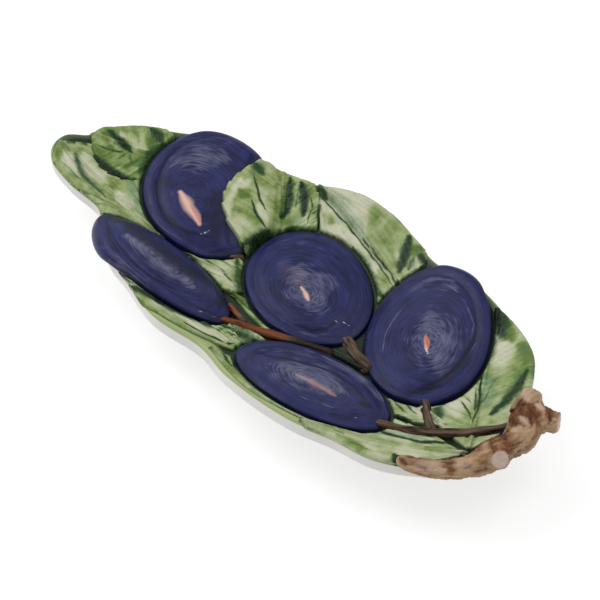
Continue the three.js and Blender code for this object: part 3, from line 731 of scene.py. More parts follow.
def grid_piece(name, columns, rows, place):
    """Mesh of a grid of cells: place turns shares along and across it into points and paint values."""
    bm = bmesh.new()
    bmesh.ops.create_grid(bm, x_segments=columns, y_segments=rows, size=0.5)
    mesh = bpy.data.meshes.new(name)
    bm.to_mesh(mesh)
    bm.free()
    flat = np.empty(3 * len(mesh.vertices))
    mesh.vertices.foreach_get("co", flat)
    shares = flat.reshape(-1, 3) + 0.5
    points, paint = place(shares[:, 0], shares[:, 1])
    mesh.vertices.foreach_set("co", (points + SHIFT).ravel())
    store_paint(mesh, paint)
    return mesh


def store_paint(mesh, paint):
    """Stores paint values as attributes of the points, for the glazes to read."""
    for key, values in paint.items():
        kind, field = ("FLOAT", "value") if values.ndim == 1 else ("FLOAT_VECTOR", "vector")
        layer = mesh.attributes.new(key, kind, "POINT")
        layer.data.foreach_set(field, values.astype(np.float32).ravel())


def close_mesh(mesh, fill=False):
    """Drops buried points and their necks, merges doubles, closes ends and turns the faces outwards."""
    bm = bmesh.new()
    bm.from_mesh(mesh)
    buried = bm.verts.layers.float.get("buried")
    if buried:
        bmesh.ops.delete(bm, geom=[v for v in bm.verts if v[buried] > 0.5], context="VERTS")
    bmesh.ops.remove_doubles(bm, verts=bm.verts, dist=WELD)
    bmesh.ops.dissolve_degenerate(bm, edges=bm.edges, dist=WELD)
    if buried:
        necks = [v for v in bm.verts if sum(e.is_boundary for e in v.link_edges) > 2]
        bmesh.ops.delete(bm, geom=necks, context="VERTS")
    bmesh.ops.delete(bm, geom=[v for v in bm.verts if not v.link_faces], context="VERTS")
    if fill:
        bmesh.ops.holes_fill(bm, edges=[e for e in bm.edges if e.is_boundary])
        bmesh.ops.recalc_face_normals(bm, faces=bm.faces)
    elif sum(f.normal.z for f in bm.faces) < 0:
        bmesh.ops.reverse_faces(bm, faces=bm.faces)
    bm.to_mesh(mesh)
    bm.free()
    if mesh.attributes.get("buried"):
        mesh.attributes.remove(mesh.attributes["buried"])
    mesh.polygons.foreach_set("use_smooth", [True] * len(mesh.polygons))


def add_piece(mesh, node_name, material):
    """Puts a finished mesh in the scene in place of its node."""
    piece = bpy.data.objects.new(mesh.name, mesh)
    bpy.context.scene.collection.objects.link(piece)
    mesh.materials.append(material)
    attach(piece, "root")
    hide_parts(node_name)
    return piece


# Sprig layout

class Plum:
    """Oval of a plum in plan, between two places and out to a margin inside the rim in a direction."""

    def __init__(self, tail, head, rim, margin, stalk, suture):
        self.centre = (tail + head) / 2
        self.length = np.linalg.norm(head - tail)
        self.along = (head - tail) / self.length
        self.across = np.array([-self.along[1], self.along[0]])
        out = rim_normal(np.radians(rim))
        reach = (rim_point(rim, margin * MM) - self.centre) @ out
        length_out = self.length / 2 * (self.along @ out)
        self.width = 2 * math.sqrt(reach ** 2 - length_out ** 2) / abs(self.across @ out)
        self.suture = suture
        stalk = math.radians(stalk)
        self.stalk_point = self.at(np.array([math.cos(stalk)]), np.array([math.sin(stalk)]))[0]

    def at(self, u, v):
        """Plan points from shares of the half length and half width."""
        ahead = u[:, None] * self.along * self.length / 2
        return self.centre + ahead + v[:, None] * self.across * self.width / 2

    def local(self, plan, grow=0.0):
        """Shares of the half length and half width at plan points, for the plum or one grown all round."""
        offset = plan - self.centre
        return offset @ self.along / (self.length / 2 + grow), offset @ self.across / (self.width / 2 + grow)

    def outside(self, plan):
        """Distance outside the plum's outline, negative inside it."""
        share = np.maximum(np.hypot(*self.local(plan)), 1e-6)
        return np.linalg.norm(plan - self.centre, axis=1) * (1 - 1 / share)

    def stalk_end(self, lap):
        """Point inside the plum where its stalk ends."""
        inwards = self.centre - self.stalk_point
        return self.stalk_point + inwards / np.linalg.norm(inwards) * lap

    def from_suture(self, u, v):
        """Distance from the suture line."""
        middle_u, middle_v, reach = self.suture
        return (np.hypot(u - middle_u, v - middle_v) - reach) * self.width / 2

    def dome(self, u, v, sizes):
        """Height of the plain dome over the bowl."""
        return sizes.plum_rise * np.sqrt(np.clip(1 - u ** 2 - v ** 2, 0, 1)) ** PLUM_EDGE

    def rise(self, u, v, sizes):
        """Height of the dome over the bowl, with its suture groove and stalk hollow."""
        groove = sizes.suture_depth * bell(self.from_suture(u, v), SUTURE_WIDTH)
        stalk = np.linalg.norm(self.at(u, v) - self.stalk_point, axis=1)
        hollow = sizes.stalk_hollow * bell(stalk, CAVITY_WIDTH)
        depth = (groove + hollow) * np.sqrt(np.clip(1 - u ** 2 - v ** 2, 0, 1))
        return self.dome(u, v, sizes) - depth


def bowed_line(start, end, bow):
    """Points of a bowed line in plan as a function of the share of the way along it."""
    along = (end - start) / np.linalg.norm(end - start)
    middle = (start + end) / 2 + np.array([-along[1], along[0]]) * 2 * bow

    def at(share):
        share = np.asarray(share, float)[..., None]
        return (1 - share) ** 2 * start + 2 * share * (1 - share) * middle + share ** 2 * end
    return at


def tangent_of(line, share):
    """Direction of a line at a share of the way along it."""
    step = 1e-3
    ahead = line(np.minimum(share + step, 1)) - line(np.maximum(share - step, 0))
    return ahead / np.linalg.norm(ahead, axis=-1, keepdims=True)


class Leaf:
    """Outline of a leaf in plan from its midrib, its half widths and its teeth, and how it is painted."""

    def __init__(
        self, base, tip, halves, veins, bow=0.0, belly=LEAF_BELLY, toothed=False, layer=0, over=None,
        wash=LEAF_WASH, cool=0.0, lengthwise=False,
    ):
        self.line = bowed_line(base, tip, bow * MM)
        self.length = np.linalg.norm(tip - base)
        self.halves = [half * MM for half in halves]
        self.veins = veins
        self.fullest = math.log(0.5) / math.log(belly)
        self.toothed = toothed
        self.layer = layer
        self.over = over
        self.wash = wash
        self.cool = cool
        self.lengthwise = lengthwise

    def place(self, share, across, tooth_depth):
        """Plan points and the half width there, from shares along the midrib and across the leaf."""
        half = np.where(across > 0, *self.halves)
        body = half * np.sin(math.pi * share ** self.fullest)
        notch = tooth_depth * (1 - np.mod(share * self.veins, 1)) if self.toothed else 0.0
        reach = np.maximum(body - notch, LEAF_END / 2)
        tangent = tangent_of(self.line, share)
        ahead = VEIN_SLANT * np.abs(across) * body
        left = np.stack([-tangent[:, 1], tangent[:, 0]], -1)
        return self.line(share) + tangent * ahead[:, None] + left * (across * reach)[:, None], reach


# Plums: ends, rim direction, margin in millimetres, stalk angle, and the suture's middle and reach in shares
PLUMS = {
    "plum_far_right": Plum(spot(0.286, 0.893), spot(0.65, -0.066), 59, 0.8, 0, (0, -0.1, 0.84)),
    "plum_near_right": Plum(spot(0.077, -0.6), spot(0.647, -0.482), 293, 5, 0, (0.1, -0.15, 0.87)),
    "plum_centre": Plum(spot(-0.247, 0.364), spot(0.275, 0.056), 89, 24, 0, (0, 0.06, 0.9)),
    "plum_far_left": Plum(spot(-0.779, 0.488), spot(-0.262, 0.089), 126, -2, -34, (0.09, 0.12, 0.9)),
    "plum_near_left": Plum(spot(-0.668, -0.584), spot(-0.043, -0.532), 247.5, -1, 0, (0.05, 0.3, 0.93)),
}

# Leaves: base, tip, half widths in millimetres and side veins, then form and paint
LEAVES = {
    "far_middle_leaf": Leaf(
        spot(-0.115, 0.13), rim_point(116, -9 * MM), (30, 21), 10, belly=0.34, toothed=True, layer=1,
        over="plum_far_left", wash=0.55,
    ),
    "far_left_leaf": Leaf(
        spot(-0.61, 0.47), rim_point(182, 2 * MM), (22, 22), 9, belly=0.5, toothed=True, layer=1, wash=0.75,
    ),
    "right_end_leaf": Leaf(
        spot(0.89, -0.225), rim_point(55, 2 * MM), (32, 32), 8, belly=0.38, wash=0.45, cool=0.35,
    ),
    "near_right_leaf": Leaf(
        spot(0.9, -0.275), rim_point(299, 2 * MM), (23, 23), 8, toothed=True, wash=0.3, lengthwise=True,
    ),
    "twig_leaf": Leaf(spot(0.775, -0.13), spot(0.435, -0.03), (17, 17), 6, toothed=True, wash=0.4, cool=0.4),
    "centre_left_leaf": Leaf(
        spot(-0.09, -0.03), spot(-0.46, -0.305), (14, 14), 7, belly=0.36, toothed=True, layer=1, wash=0.5,
        lengthwise=True,
    ),
    "stalk_leaf_upper": Leaf(spot(0.41, -0.08), spot(-0.15, -0.24), (10, 10), 7, wash=0.5, lengthwise=True),
    "stalk_leaf_lower": Leaf(spot(0.15, -0.42), spot(-0.08, -0.61), (6.5, 6.5), 6, wash=0.4, cool=0.6),
    "far_right_leaf": Leaf(
        rim_point(105, 1 * MM), spot(0.33, 0.6), (23, 23), 9, bow=2, wash=0.3, lengthwise=True,
    ),
    "tip_leaf": Leaf(
        spot(-0.45, -0.26), rim_point(194, 2 * MM), (20, 20), 8, belly=0.55, wash=0.5, cool=0.3,
        lengthwise=True,
    ),
    "near_left_leaf": Leaf(spot(0.12, -0.68), rim_point(243, 1 * MM), (17, 17), 8, bow=-3, lengthwise=True),
    "near_rim_leaf": Leaf(
        rim_point(308, 4 * MM), rim_point(273, 3 * MM), (11, 11), 8, bow=-1, lengthwise=True,
    ),
}


def leaf_mesh(name, leaf, sizes):
    """Leaf skin: it follows the bowl or the plum that it lies over, and dips under the plums above it."""
    above = [plum for key, plum in PLUMS.items() if key != leaf.over]
    thick = sizes.leaf_thickness + leaf.layer * LAYER_RISE

    def bed(plan):
        if not leaf.over:
            return np.zeros(len(plan))
        plum = PLUMS[leaf.over]
        return plum.dome(*plum.local(plan, LEAF_DRAPE), sizes)

    def top(plan):
        return bed(plan) + thick

    def place(along, across):
        across = np.sin(math.pi / 2 * (2 * across - 1))
        plan, reach = leaf.place(along, across, sizes.tooth_depth)
        edge = (1 - np.abs(across)) * reach
        roll = np.sqrt(1 - (1 - np.clip(edge / LEAF_ROLL, 0, 1)) ** 2)
        from_rib = np.abs(across) * reach
        groove = RIB_GROOVE_SHARE * bell(from_rib - RIB_GROOVE, RIB_GROOVE_WIDTH)
        rib = sizes.midrib_rise * (bell(from_rib, RIB_WIDTH) - groove)
        to_vein = (np.mod(along * leaf.veins + 0.5, 1) - 0.5) * leaf.length / leaf.veins
        if leaf.lengthwise:
            to_vein = (np.mod(across * LENGTHWISE_VEINS + 0.5, 1) - 0.5) * reach / LENGTHWISE_VEINS
        vein = sizes.vein_depth * bell(to_vein, VEIN_WIDTH) * smooth(from_rib, 0, VEIN_START)
        gaps = np.min([plum.outside(plan) for plum in above], axis=0)
        cover = smooth(gaps, 0, TUCK_WIDTH)
        rise = (bed(plan) + (thick + rib - vein) * roll) * cover
        rise -= EDGE_SINK * (1 - np.minimum(cover, smooth(roll, 0, ROLLED_SHARE)))
        margin = rim_margin(plan)
        eased = rise * smooth(margin, -RIM_PAST, RIM_EASE) + RIM_SKIN
        rise = np.where(margin < RIM_EASE, eased, rise)
        past = margin < RIM_ROUNDING - LEAF_OVERHANG - OVERHANG_SPARE
        ink_and_shade = RIB_INK * bell(from_rib - RIB_INK_OFFSET, RIB_INK_WIDTH)
        ink_and_shade += VEIN_INK * bell(to_vein, VEIN_INK_WIDTH)
        # Painted shade on the leaf next to each plum above it
        ink_and_shade += TUCK_SHADE * bell(np.maximum(gaps, 0), TUCK_SHADE_WIDTH)
        ink_and_shade += EDGE_INK * bell(edge, EDGE_INK_WIDTH)
        strokes = [across * np.mean(leaf.halves), along * leaf.length]
        if leaf.lengthwise:
            strokes.reverse()
        paint = {
            "ink_and_shade": np.clip(ink_and_shade, 0, 1),
            "wash": np.full(len(plan), leaf.wash),
            "cool": np.full(len(plan), leaf.cool),
            "brush": np.column_stack([*strokes, np.full(len(plan), leaf.length)]),
            "buried": ((gaps < -BURIED_DEPTH) | past).astype(float),
        }
        add_strokes(name, plan, lambda pixels: from_photo(pixels, top), paint)
        return lay(plan, rise, LEAF_OVERHANG), paint

    cell_length, cell_width = LEAF_CELL
    columns = max(LEAST_CELLS, round(leaf.length / cell_length))
    rows = max(LEAST_CELLS, round(sum(leaf.halves) / cell_width))
    mesh = grid_piece(name + "_blade", columns, rows, place)
    close_mesh(mesh)
    return mesh


def plum_mesh(name, plum, sizes):
    """Plum: a low dome with a suture groove and a stalk hollow, closed underneath on the bowl."""
    def crown(plan):
        return plum.rise(*plum.local(plan), sizes)

    def place(around, row):
        turn = around * TAU
        on_top = row < PLUM_TOP_SHARE
        share = np.where(on_top, row / PLUM_TOP_SHARE, (1 - row) / (1 - PLUM_TOP_SHARE))
        reach = np.sin(share * math.pi / 2)
        u, v = reach * np.cos(turn), reach * np.sin(turn)
        plan = plum.at(u, v)
        top = plum.rise(u, v, sizes) - EDGE_SINK * smooth(reach, PLUM_SINK_SHARE, 1)
        points = lay(plan, np.where(on_top, top, -EDGE_SINK), PLUM_OVERHANG)
        points[row > LAST_ROW] = points[row > LAST_ROW].mean(0)
        half = plum.width / 2
        eye_u, eye_v = plum.local(from_photo(np.array([PLUM_EYES[name]]), crown))
        from_u = u - eye_u * (1 - reach ** 2)
        from_v = v - eye_v * (1 - reach ** 2)
        eye_turn = np.arctan2(from_v, from_u)
        # Dark outline round the plum and dark line in the suture groove, partly painted shade at the edge
        # and in the groove
        ink_and_shade = PLUM_OUTLINE_AND_SHADE * bell((1 - reach) * half, PLUM_OUTLINE_AND_SHADE_WIDTH)
        ink_and_shade += SUTURE_LINE_AND_SHADE * bell(plum.from_suture(u, v), SUTURE_LINE_AND_SHADE_WIDTH)
        paint = {key: np.zeros(len(plan)) for key in ("bloom_and_highlight", "flesh", "ember", "glint")}
        paint["ink_and_shade"] = np.clip(ink_and_shade, 0, 1)
        around_eye = [np.cos(eye_turn), np.sin(eye_turn), np.hypot(from_v, from_u)]
        paint["brush"] = half * np.column_stack(around_eye)
        add_strokes(name, plan, lambda pixels: from_photo(pixels, crown), paint)
        return points, paint

    mesh = grid_piece(name + "_fruit", *PLUM_CELLS, place)
    close_mesh(mesh, fill=True)
    return mesh


def branch_line(share):
    """Line of the branch over the rim: a smooth curve through its stations."""
    stations = np.array([rim_point(angle, inset * MM) for angle, inset in BRANCH_STATIONS])
    count = len(stations) - 1
    place = np.clip(np.asarray(share, float) * count, 0, count)
    at = np.minimum(place.astype(int), count - 1)
    step = (place - at)[..., None]
    before = stations[np.maximum(at - 1, 0)]
    start, end = stations[at], stations[at + 1]
    after = stations[np.minimum(at + 2, count)]
    leave, arrive = (end - before) / 2, (after - start) / 2
    bend = 3 * (end - start) - 2 * leave - arrive
    twist = 2 * (start - end) + leave + arrive
    return start + leave * step + bend * step ** 2 + twist * step ** 3


MAIN_TWIG = bowed_line(branch_line(0.9), PLUMS["plum_near_right"].stalk_end(TWIG_LAP), TWIG_BOW)


def stalk_line(start, plum, bow=0.0):
    """Line of a stalk from a place to its plum."""
    return bowed_line(start, PLUMS[plum].stalk_end(STALK_LAP), bow)


# Twigs: line, width, rise, how red the brown is, and how dark the near end is painted, which is painted
# shade where a stalk starts in the gap between the plums
TWIGS = {
    "main_twig": (MAIN_TWIG, 1.25 * TWIG_WIDTH, TWIG_RISE, 0.2, 0.0),
    "far_right_stalk": (
        stalk_line(MAIN_TWIG(0.6), "plum_far_right"), 1.3 * STALK_WIDTH, STALK_RISE, 0.1, 0.0,
    ),
    "centre_stalk": (
        stalk_line(spot(0.42, -0.05), "plum_centre", 0.001), 1.8 * STALK_WIDTH, STALK_RISE, 0.0, 0.6,
    ),
    "near_left_stalk": (
        stalk_line(spot(0.285, -0.13), "plum_near_left", -0.002), 1.45 * STALK_WIDTH, STALK_RISE, 1.0, 1.0,
    ),
    "near_left_spur": (
        bowed_line(spot(0, -0.42), spot(-0.11, -0.355), 0.0), STALK_WIDTH, STALK_RISE, 0.8, 0.0,
    ),
    "far_left_stalk": (
        stalk_line(spot(-0.25, 0.1), "plum_far_left"), STALK_WIDTH, 0.6 * STALK_RISE, 0.1, 0.0,
    ),
}


def twig_mesh(name, line, width, rise, red, dark):
    """Twig: a half-round strip with shallow furrows, sunk into what it lies on."""
    length = np.linalg.norm(np.diff(line(np.linspace(0, 1, TWIG_SAMPLES)), axis=0), axis=1).sum()

    def place(along, around):
        turn = around * TAU
        taper = 1 - TWIG_TAPER * along
        lumps = 1 + TWIG_LUMP * np.sin(along * length / TWIG_LUMP_LENGTH)
        lumps += FURROW * np.sin(FURROWS * turn + along * FURROW_TWIST)
        end = np.sqrt(np.clip(1 - (2 * np.abs(along - 0.5)) ** TWIG_END_POWER, 0, 1))
        tangent = tangent_of(line, along)
        left = np.stack([-tangent[:, 1], tangent[:, 0]], -1)
        half = width / 2 * taper * lumps * (TWIG_END_SHARE + (1 - TWIG_END_SHARE) * end)
        plan = line(along) + left * (np.cos(turn) * half)[:, None]
        height = np.where(np.sin(turn) > 0, rise * lumps * taper * end, EDGE_SINK) * np.sin(turn)
        paint = {
            "brush": np.column_stack([half * np.cos(turn), half * np.sin(turn), along * length]),
            "red": red * smooth(along, *TWIG_CHANGE),
            # Painted shade on the near end
            "dark": dark * (1 - smooth(along, *TWIG_CHANGE)),
            "side": np.abs(np.cos(turn)),
        }
        return lay(plan, height, TWIG_OVERHANG), paint

    mesh = grid_piece(name + "_strip", round(length / TWIG_CELL), TWIG_SIDES, place)
    close_mesh(mesh, fill=True)
    return mesh


def branch_axis(share):
    """Axis of the branch, seated on the rim."""
    plan = branch_line(share)
    sag = BRANCH_SAG * bell(share - BRANCH_SAG_SHARE, BRANCH_SAG_SPREAD)
    bulge = BRANCH_BULGE * bell(share - BRANCH_BULGE_SHARE, BRANCH_BULGE_SPREAD)
    outwards = rim_normal(rim_turn(plan)) * (sag + bulge)[:, None]
    return np.column_stack([plan + outwards, bowl(plan) + BRANCH_DIAMETER / 2 - BRANCH_SEAT - sag])


def branch_mesh(sizes):
    """Branch: a knotty log with sawn stubs, fused and then roughened as carved bark."""
    def place(along, around):
        turn = around * TAU
        swell = sum(share * np.sin(rate * along + start) for rate, start, share in KNOT_WAVES)
        wave = RIDGE_SHARE * np.cos(BARK_RIDGES * turn + BARK_TWIST * along)
        ridge = sizes.bark_depth * (wave - RIDGE_INSET)
        grown = np.minimum(1, along / BRANCH_TIP_SHARE)
        diameter = BRANCH_TIP + (BRANCH_DIAMETER - BRANCH_TIP) * grown
        radius = diameter / 2 + BRANCH_KNOT * swell * grown + ridge
        radius *= np.sqrt(1 - TIP_NARROWING * (1 - np.clip(along / BRANCH_TIP_ROUNDING, 0, 1)) ** 2)
        tangent = tangent_of(branch_line, along)
        right = np.column_stack([tangent[:, 1], -tangent[:, 0], np.zeros(len(along))])
        points = branch_axis(along) + right * (radius * np.cos(turn))[:, None]
        points[:, 2] += radius * np.sin(turn)
        return points, {}

    log = grid_piece("branch_log", *LOG_CELLS, place)
    bm = bmesh.new()
    bm.from_mesh(log)
    bmesh.ops.remove_doubles(bm, verts=bm.verts, dist=WELD)
    bmesh.ops.holes_fill(bm, edges=[e for e in bm.edges if e.is_boundary])
    ends = []
    for share, aim, length, flare in STUBS:
        root = Vector(branch_axis(np.array([share]))[0] + SHIFT)
        direction = Vector(aim).normalized()
        turn = direction.to_track_quat("Z", "Y").to_matrix().to_4x4()
        turn.translation = root + direction * length / 2
        bmesh.ops.create_cone(
            bm, cap_ends=True, segments=STUB_SIDES, radius1=STUB_DIAMETER / 2 + flare,
            radius2=STUB_DIAMETER / 2, depth=length, matrix=turn,
        )
        ends.append((root + direction * length, direction))
    bmesh.ops.recalc_face_normals(bm, faces=bm.faces)
    bm.to_mesh(log)
    bm.free()

    blank = bpy.data.objects.new("branch_blank", log)
    bpy.context.scene.collection.objects.link(blank)
    fuse = blank.modifiers.new("fuse", "REMESH")
    fuse.mode = "VOXEL"
    fuse.voxel_size = FUSE_CELL
    soften = blank.modifiers.new("soften", "SMOOTH")
    soften.iterations = FUSE_PASSES
    evaluated = blank.evaluated_get(bpy.context.evaluated_depsgraph_get())
    mesh = bpy.data.meshes.new_from_object(evaluated)
    mesh.name = "branch_wood"
    bpy.data.objects.remove(blank)

    count = len(mesh.vertices)
    points = np.empty(3 * count)
    mesh.vertices.foreach_get("co", points)
    points = points.reshape(-1, 3)
    normals = np.empty(3 * count)
    mesh.vertex_normals.foreach_get("vector", normals)
    normals = normals.reshape(-1, 3)
    line = branch_axis(np.linspace(0, 1, BARK_STATIONS)) + SHIFT
    nearest = np.argmin(((points[:, None, :2] - line[None, :, :2]) ** 2).sum(-1), axis=1)
    offset = points - line[nearest]
    along = nearest / BARK_STATIONS * BARK_LENGTH
    bark = np.array([
        noise.fractal(Vector((a / GRAIN_LENGTH, x / GRAIN_WIDTH, z / GRAIN_WIDTH)), *GRAIN_FRACTAL)
        for a, (x, _, z) in zip(along, offset)
    ])
    cut = np.zeros(count)
    for centre, direction in ends:
        ahead = (points - np.array(centre)) @ np.array(direction)
        aside = np.linalg.norm(points - np.array(centre) - ahead[:, None] * np.array(direction), axis=1)
        face = 1 - smooth(aside / STUB_DIAMETER, *SAWN_REACH)
        cut = np.maximum(cut, smooth(ahead, *SAWN_DEPTHS) * face)
    points += normals * (GRAIN_GAIN * sizes.bark_depth * bark * (1 - SAWN_SMOOTHNESS * cut))[:, None]
    mesh.vertices.foreach_set("co", points.ravel())
    paint = {key: np.zeros(count) for key in ("light", "brown", "dark")}
    pixel = VIEW_DISTANCE / VIEW_FOCAL_PX
    add_strokes("branch", to_photo(points - SHIFT), lambda pixels: (pixels - VIEW_TARGET_PX) * pixel, paint)
    paint["cut"] = cut
    paint["bark"] = bark
    paint["brush"] = np.column_stack([offset[:, 0], offset[:, 2], along])
    store_paint(mesh, paint)
    mesh.polygons.foreach_set("use_smooth", [True] * len(mesh.polygons))
    return mesh


def dish_mesh():
    """Dish: bowl, rounded rim, upright edge, underside parallel to the bowl, and an oval foot ring."""
    turns = np.linspace(0, math.pi / 2, RIM_ARC_POINTS)
    arc = [(RIM_ROUNDING * (1 - math.sin(a)), RIM_ROUNDING * (1 - math.cos(a))) for a in turns]
    edge = [*arc, *((inset, WALL_HEIGHT - drop) for inset, drop in reversed(arc))]
    bowl_shares = np.linspace(0, 1, BOWL_RINGS)[:-1]
    under_shares = np.linspace(1, 0, UNDER_RINGS)[1:-1]
    recess_shares = np.linspace(1, 0, RECESS_RINGS)
    rows = len(bowl_shares) + len(edge) + len(under_shares) + 3 + len(recess_shares) - 1

    def under(plan):
        return np.column_stack([plan, bowl(plan) - SHELL_THICKNESS])

    def place(around, row):
        index = np.rint(row * rows).astype(int)
        degrees = around * 360
        lip = rim_point(degrees, RIM_ROUNDING)
        ring = np.stack([np.cos(np.radians(degrees)), np.sin(np.radians(degrees))], -1)
        foot = ring * [FOOT_LENGTH / 2, FOOT_WIDTH / 2]
        inner = ring * [FOOT_LENGTH / 2 - FOOT_RING, FOOT_WIDTH / 2 - FOOT_RING]
        rings = [np.column_stack([lip * share, bowl(lip * share)]) for share in bowl_shares]
        rings += [np.column_stack([rim_point(degrees, inset), bowl(lip) - drop]) for inset, drop in edge]
        heel = rings[-1]
        for share in under_shares:
            corner = under(foot + (heel[:, :2] - foot) * share)
            corner[:, 2] = np.minimum(corner[:, 2], heel[:, 2])
            rings.append(corner)
        rings.append(under(foot))
        rings.append(np.column_stack([foot, np.zeros(len(foot))]))
        rings.append(np.column_stack([inner, np.zeros(len(foot))]))
        rings += [under(inner * share) for share in recess_shares]
        points = np.array(rings)[index, np.arange(len(index))]
        margin = rim_margin(points[:, :2])
        upper = index < len(bowl_shares) + len(arc) - 2
        near_margin = smooth(-points[:, 1], *NEAR_SIDE) * NEAR_MARGIN
        # Painted shade: dark green over the bowl where it shows between sprigs, kept back from the near rim
        ground = upper * smooth(margin - near_margin, 0, GAP_SHADE_FADE)
        return points, {"brim": upper * 1.0, "ground": ground}

    mesh = grid_piece("dish_glazed", RIM_CELLS, rows, place)
    close_mesh(mesh, fill=True)
    return mesh


# Glazes

def node(tree, kind, inputs=None, **settings):
    """Adds a node with its settings: an input that is a socket is linked, any other value is set."""
    made = tree.nodes.new(kind)
    for key, value in settings.items():
        setattr(made, key, value)
    for key, value in (inputs or {}).items():
        if isinstance(value, bpy.types.NodeSocket):
            tree.links.new(value, made.inputs[key])
        else:
            made.inputs[key].default_value = value
    return made


def seen_rays(tree):
    """Value of 1 for rays that show a surface to the eye: straight, in a gloss or through glass."""
    path = node(tree, "ShaderNodeLightPath").outputs
    shown = {0: path["Is Camera Ray"], 1: path["Is Glossy Ray"]}
    gloss = node(tree, "ShaderNodeMath", shown, operation="MAXIMUM").outputs[0]
    glass = {0: gloss, 1: path["Is Transmission Ray"]}
    return node(tree, "ShaderNodeMath", glass, operation="MAXIMUM").outputs[0]


def painted_glaze(name, roughness, ground, patterns, coats, relief):
    """Glaze with coats over its ground: a coat's cover is a start plus patterns and painted values.

    A pattern has the space that it lies in, its sizes in millimetres and its detail. The relief is a
    pattern and its depth in millimetres.
    """
    material = bpy.data.materials.new(name)
    material.use_nodes = True
    tree = material.node_tree
    values = {}
    low, high = NOISE_RANGE
    for key, (space, sizes, detail) in patterns.items():
        if space == "brush":
            vector = node(tree, "ShaderNodeAttribute", attribute_name=space).outputs["Vector"]
        else:
            vector = node(tree, "ShaderNodeTexCoord").outputs["Object"]
        scale = [1 / (size * MM) for size in sizes]
        spread = node(tree, "ShaderNodeMapping", {"Vector": vector, "Scale": scale})
        lumps = {"Vector": spread.outputs[0], "Scale": 1.0, "Detail": detail}
        cloud = node(tree, "ShaderNodeTexNoise", lumps).outputs["Fac"]
        level = {"Value": cloud, "From Min": low, "From Max": high, "To Min": -0.5, "To Max": 0.5}
        values[key] = node(tree, "ShaderNodeMapRange", level).outputs[0]
    colour = ground
    for coat, cover, terms in coats:
        for key, gain in terms.items():
            if key not in values:
                values[key] = node(tree, "ShaderNodeAttribute", attribute_name=key).outputs["Fac"]
            total = {0: values[key], 1: gain, 2: cover}
            cover = node(tree, "ShaderNodeMath", total, operation="MULTIPLY_ADD").outputs[0]
        colour = node(tree, "ShaderNodeMix", {0: cover, 6: colour, 7: coat}, data_type="RGBA").outputs[2]
    pattern, depth = relief
    bump = node(tree, "ShaderNodeBump", {"Height": values[pattern], "Distance": depth * MM})
    play = {0: values[pattern], 1: ROUGHNESS_PLAY, 2: roughness}
    dull = node(tree, "ShaderNodeMath", play, operation="MULTIPLY_ADD")
    shader = tree.nodes["Principled BSDF"]
    shader.inputs["IOR"].default_value = GLAZE_IOR
    shader.inputs["Specular IOR Level"].default_value = GLAZE_SPECULAR
    tree.links.new(colour, shader.inputs["Base Color"])
    tree.links.new(dull.outputs[0], shader.inputs["Roughness"])
    tree.links.new(bump.outputs["Normal"], shader.inputs["Normal"])
    return material


def white_glaze(colours):
    """Tin glaze on earthenware: warm white, greyer where it runs thin, with painted shade in dark green
    inside the bowl.
    """
    patterns = {"mottle": ("place", (22, 22, 22), 4)}
    coats = [
        (colours.thin_white_and_glint, 0.2, {"mottle": 0.6}),
        (colours.leaf_pale, 0.0, {"brim": 1.0}),
        # Painted shade in the gaps between sprigs
        (colours.leaf_shadow, 0.0, {"ground": 1.0}),
    ]
    relief = ("mottle", 0.15)
    return painted_glaze(
        "white_tin_glaze", WHITE_ROUGHNESS, colours.white_glaze, patterns, coats, relief,
    )


def plum_glaze(colours):
    """Blue-violet underglaze brushed round the fruit: fine rings, cloudy pale patches with painted
    highlights, dark lines with painted shade, painted glints and a soft gloss.
    """
    patterns = {
        "ring": ("brush", (12, 12, 0.6), 4),
        "band": ("brush", (18, 18, 4), 3),
        "patch": ("place", (7, 7, 7), 6),
        "grit": ("place", (1.5, 1.5, 1.5), 3),
    }
    coats = [
        (colours.plum_blue, 0.65, {"ring": 0.9, "band": 0.4, "patch": 0.5}),
        # Pale patches round the eye, with painted highlights along lit outlines, lips and ridges
        (colours.plum_bloom_and_highlight, -0.35, {"bloom_and_highlight": 0.95, "ring": 0.75, "patch": 0.4}),
        # Dark lines and bands, partly painted shade at the edges, in the suture grooves and where leaves
        # shade the plums
        (colours.plum_ink_and_shade, -0.2, {"ink_and_shade": 1.3, "ring": -0.2, "patch": -0.15}),
        (colours.plum_flesh, -0.1, {"flesh": 1.15}),
        (colours.plum_ember, -0.15, {"ember": 1.15}),
        # Painted glints: small white flecks of painted highlight on the plums, broken up by grit
        (colours.thin_white_and_glint, -0.75, {"glint": 1.4, "grit": 1.2}),
    ]
    relief = ("ring", 0.10)
    return painted_glaze("plum_underglaze", PLUM_ROUGHNESS, colours.plum_dark, patterns, coats, relief)


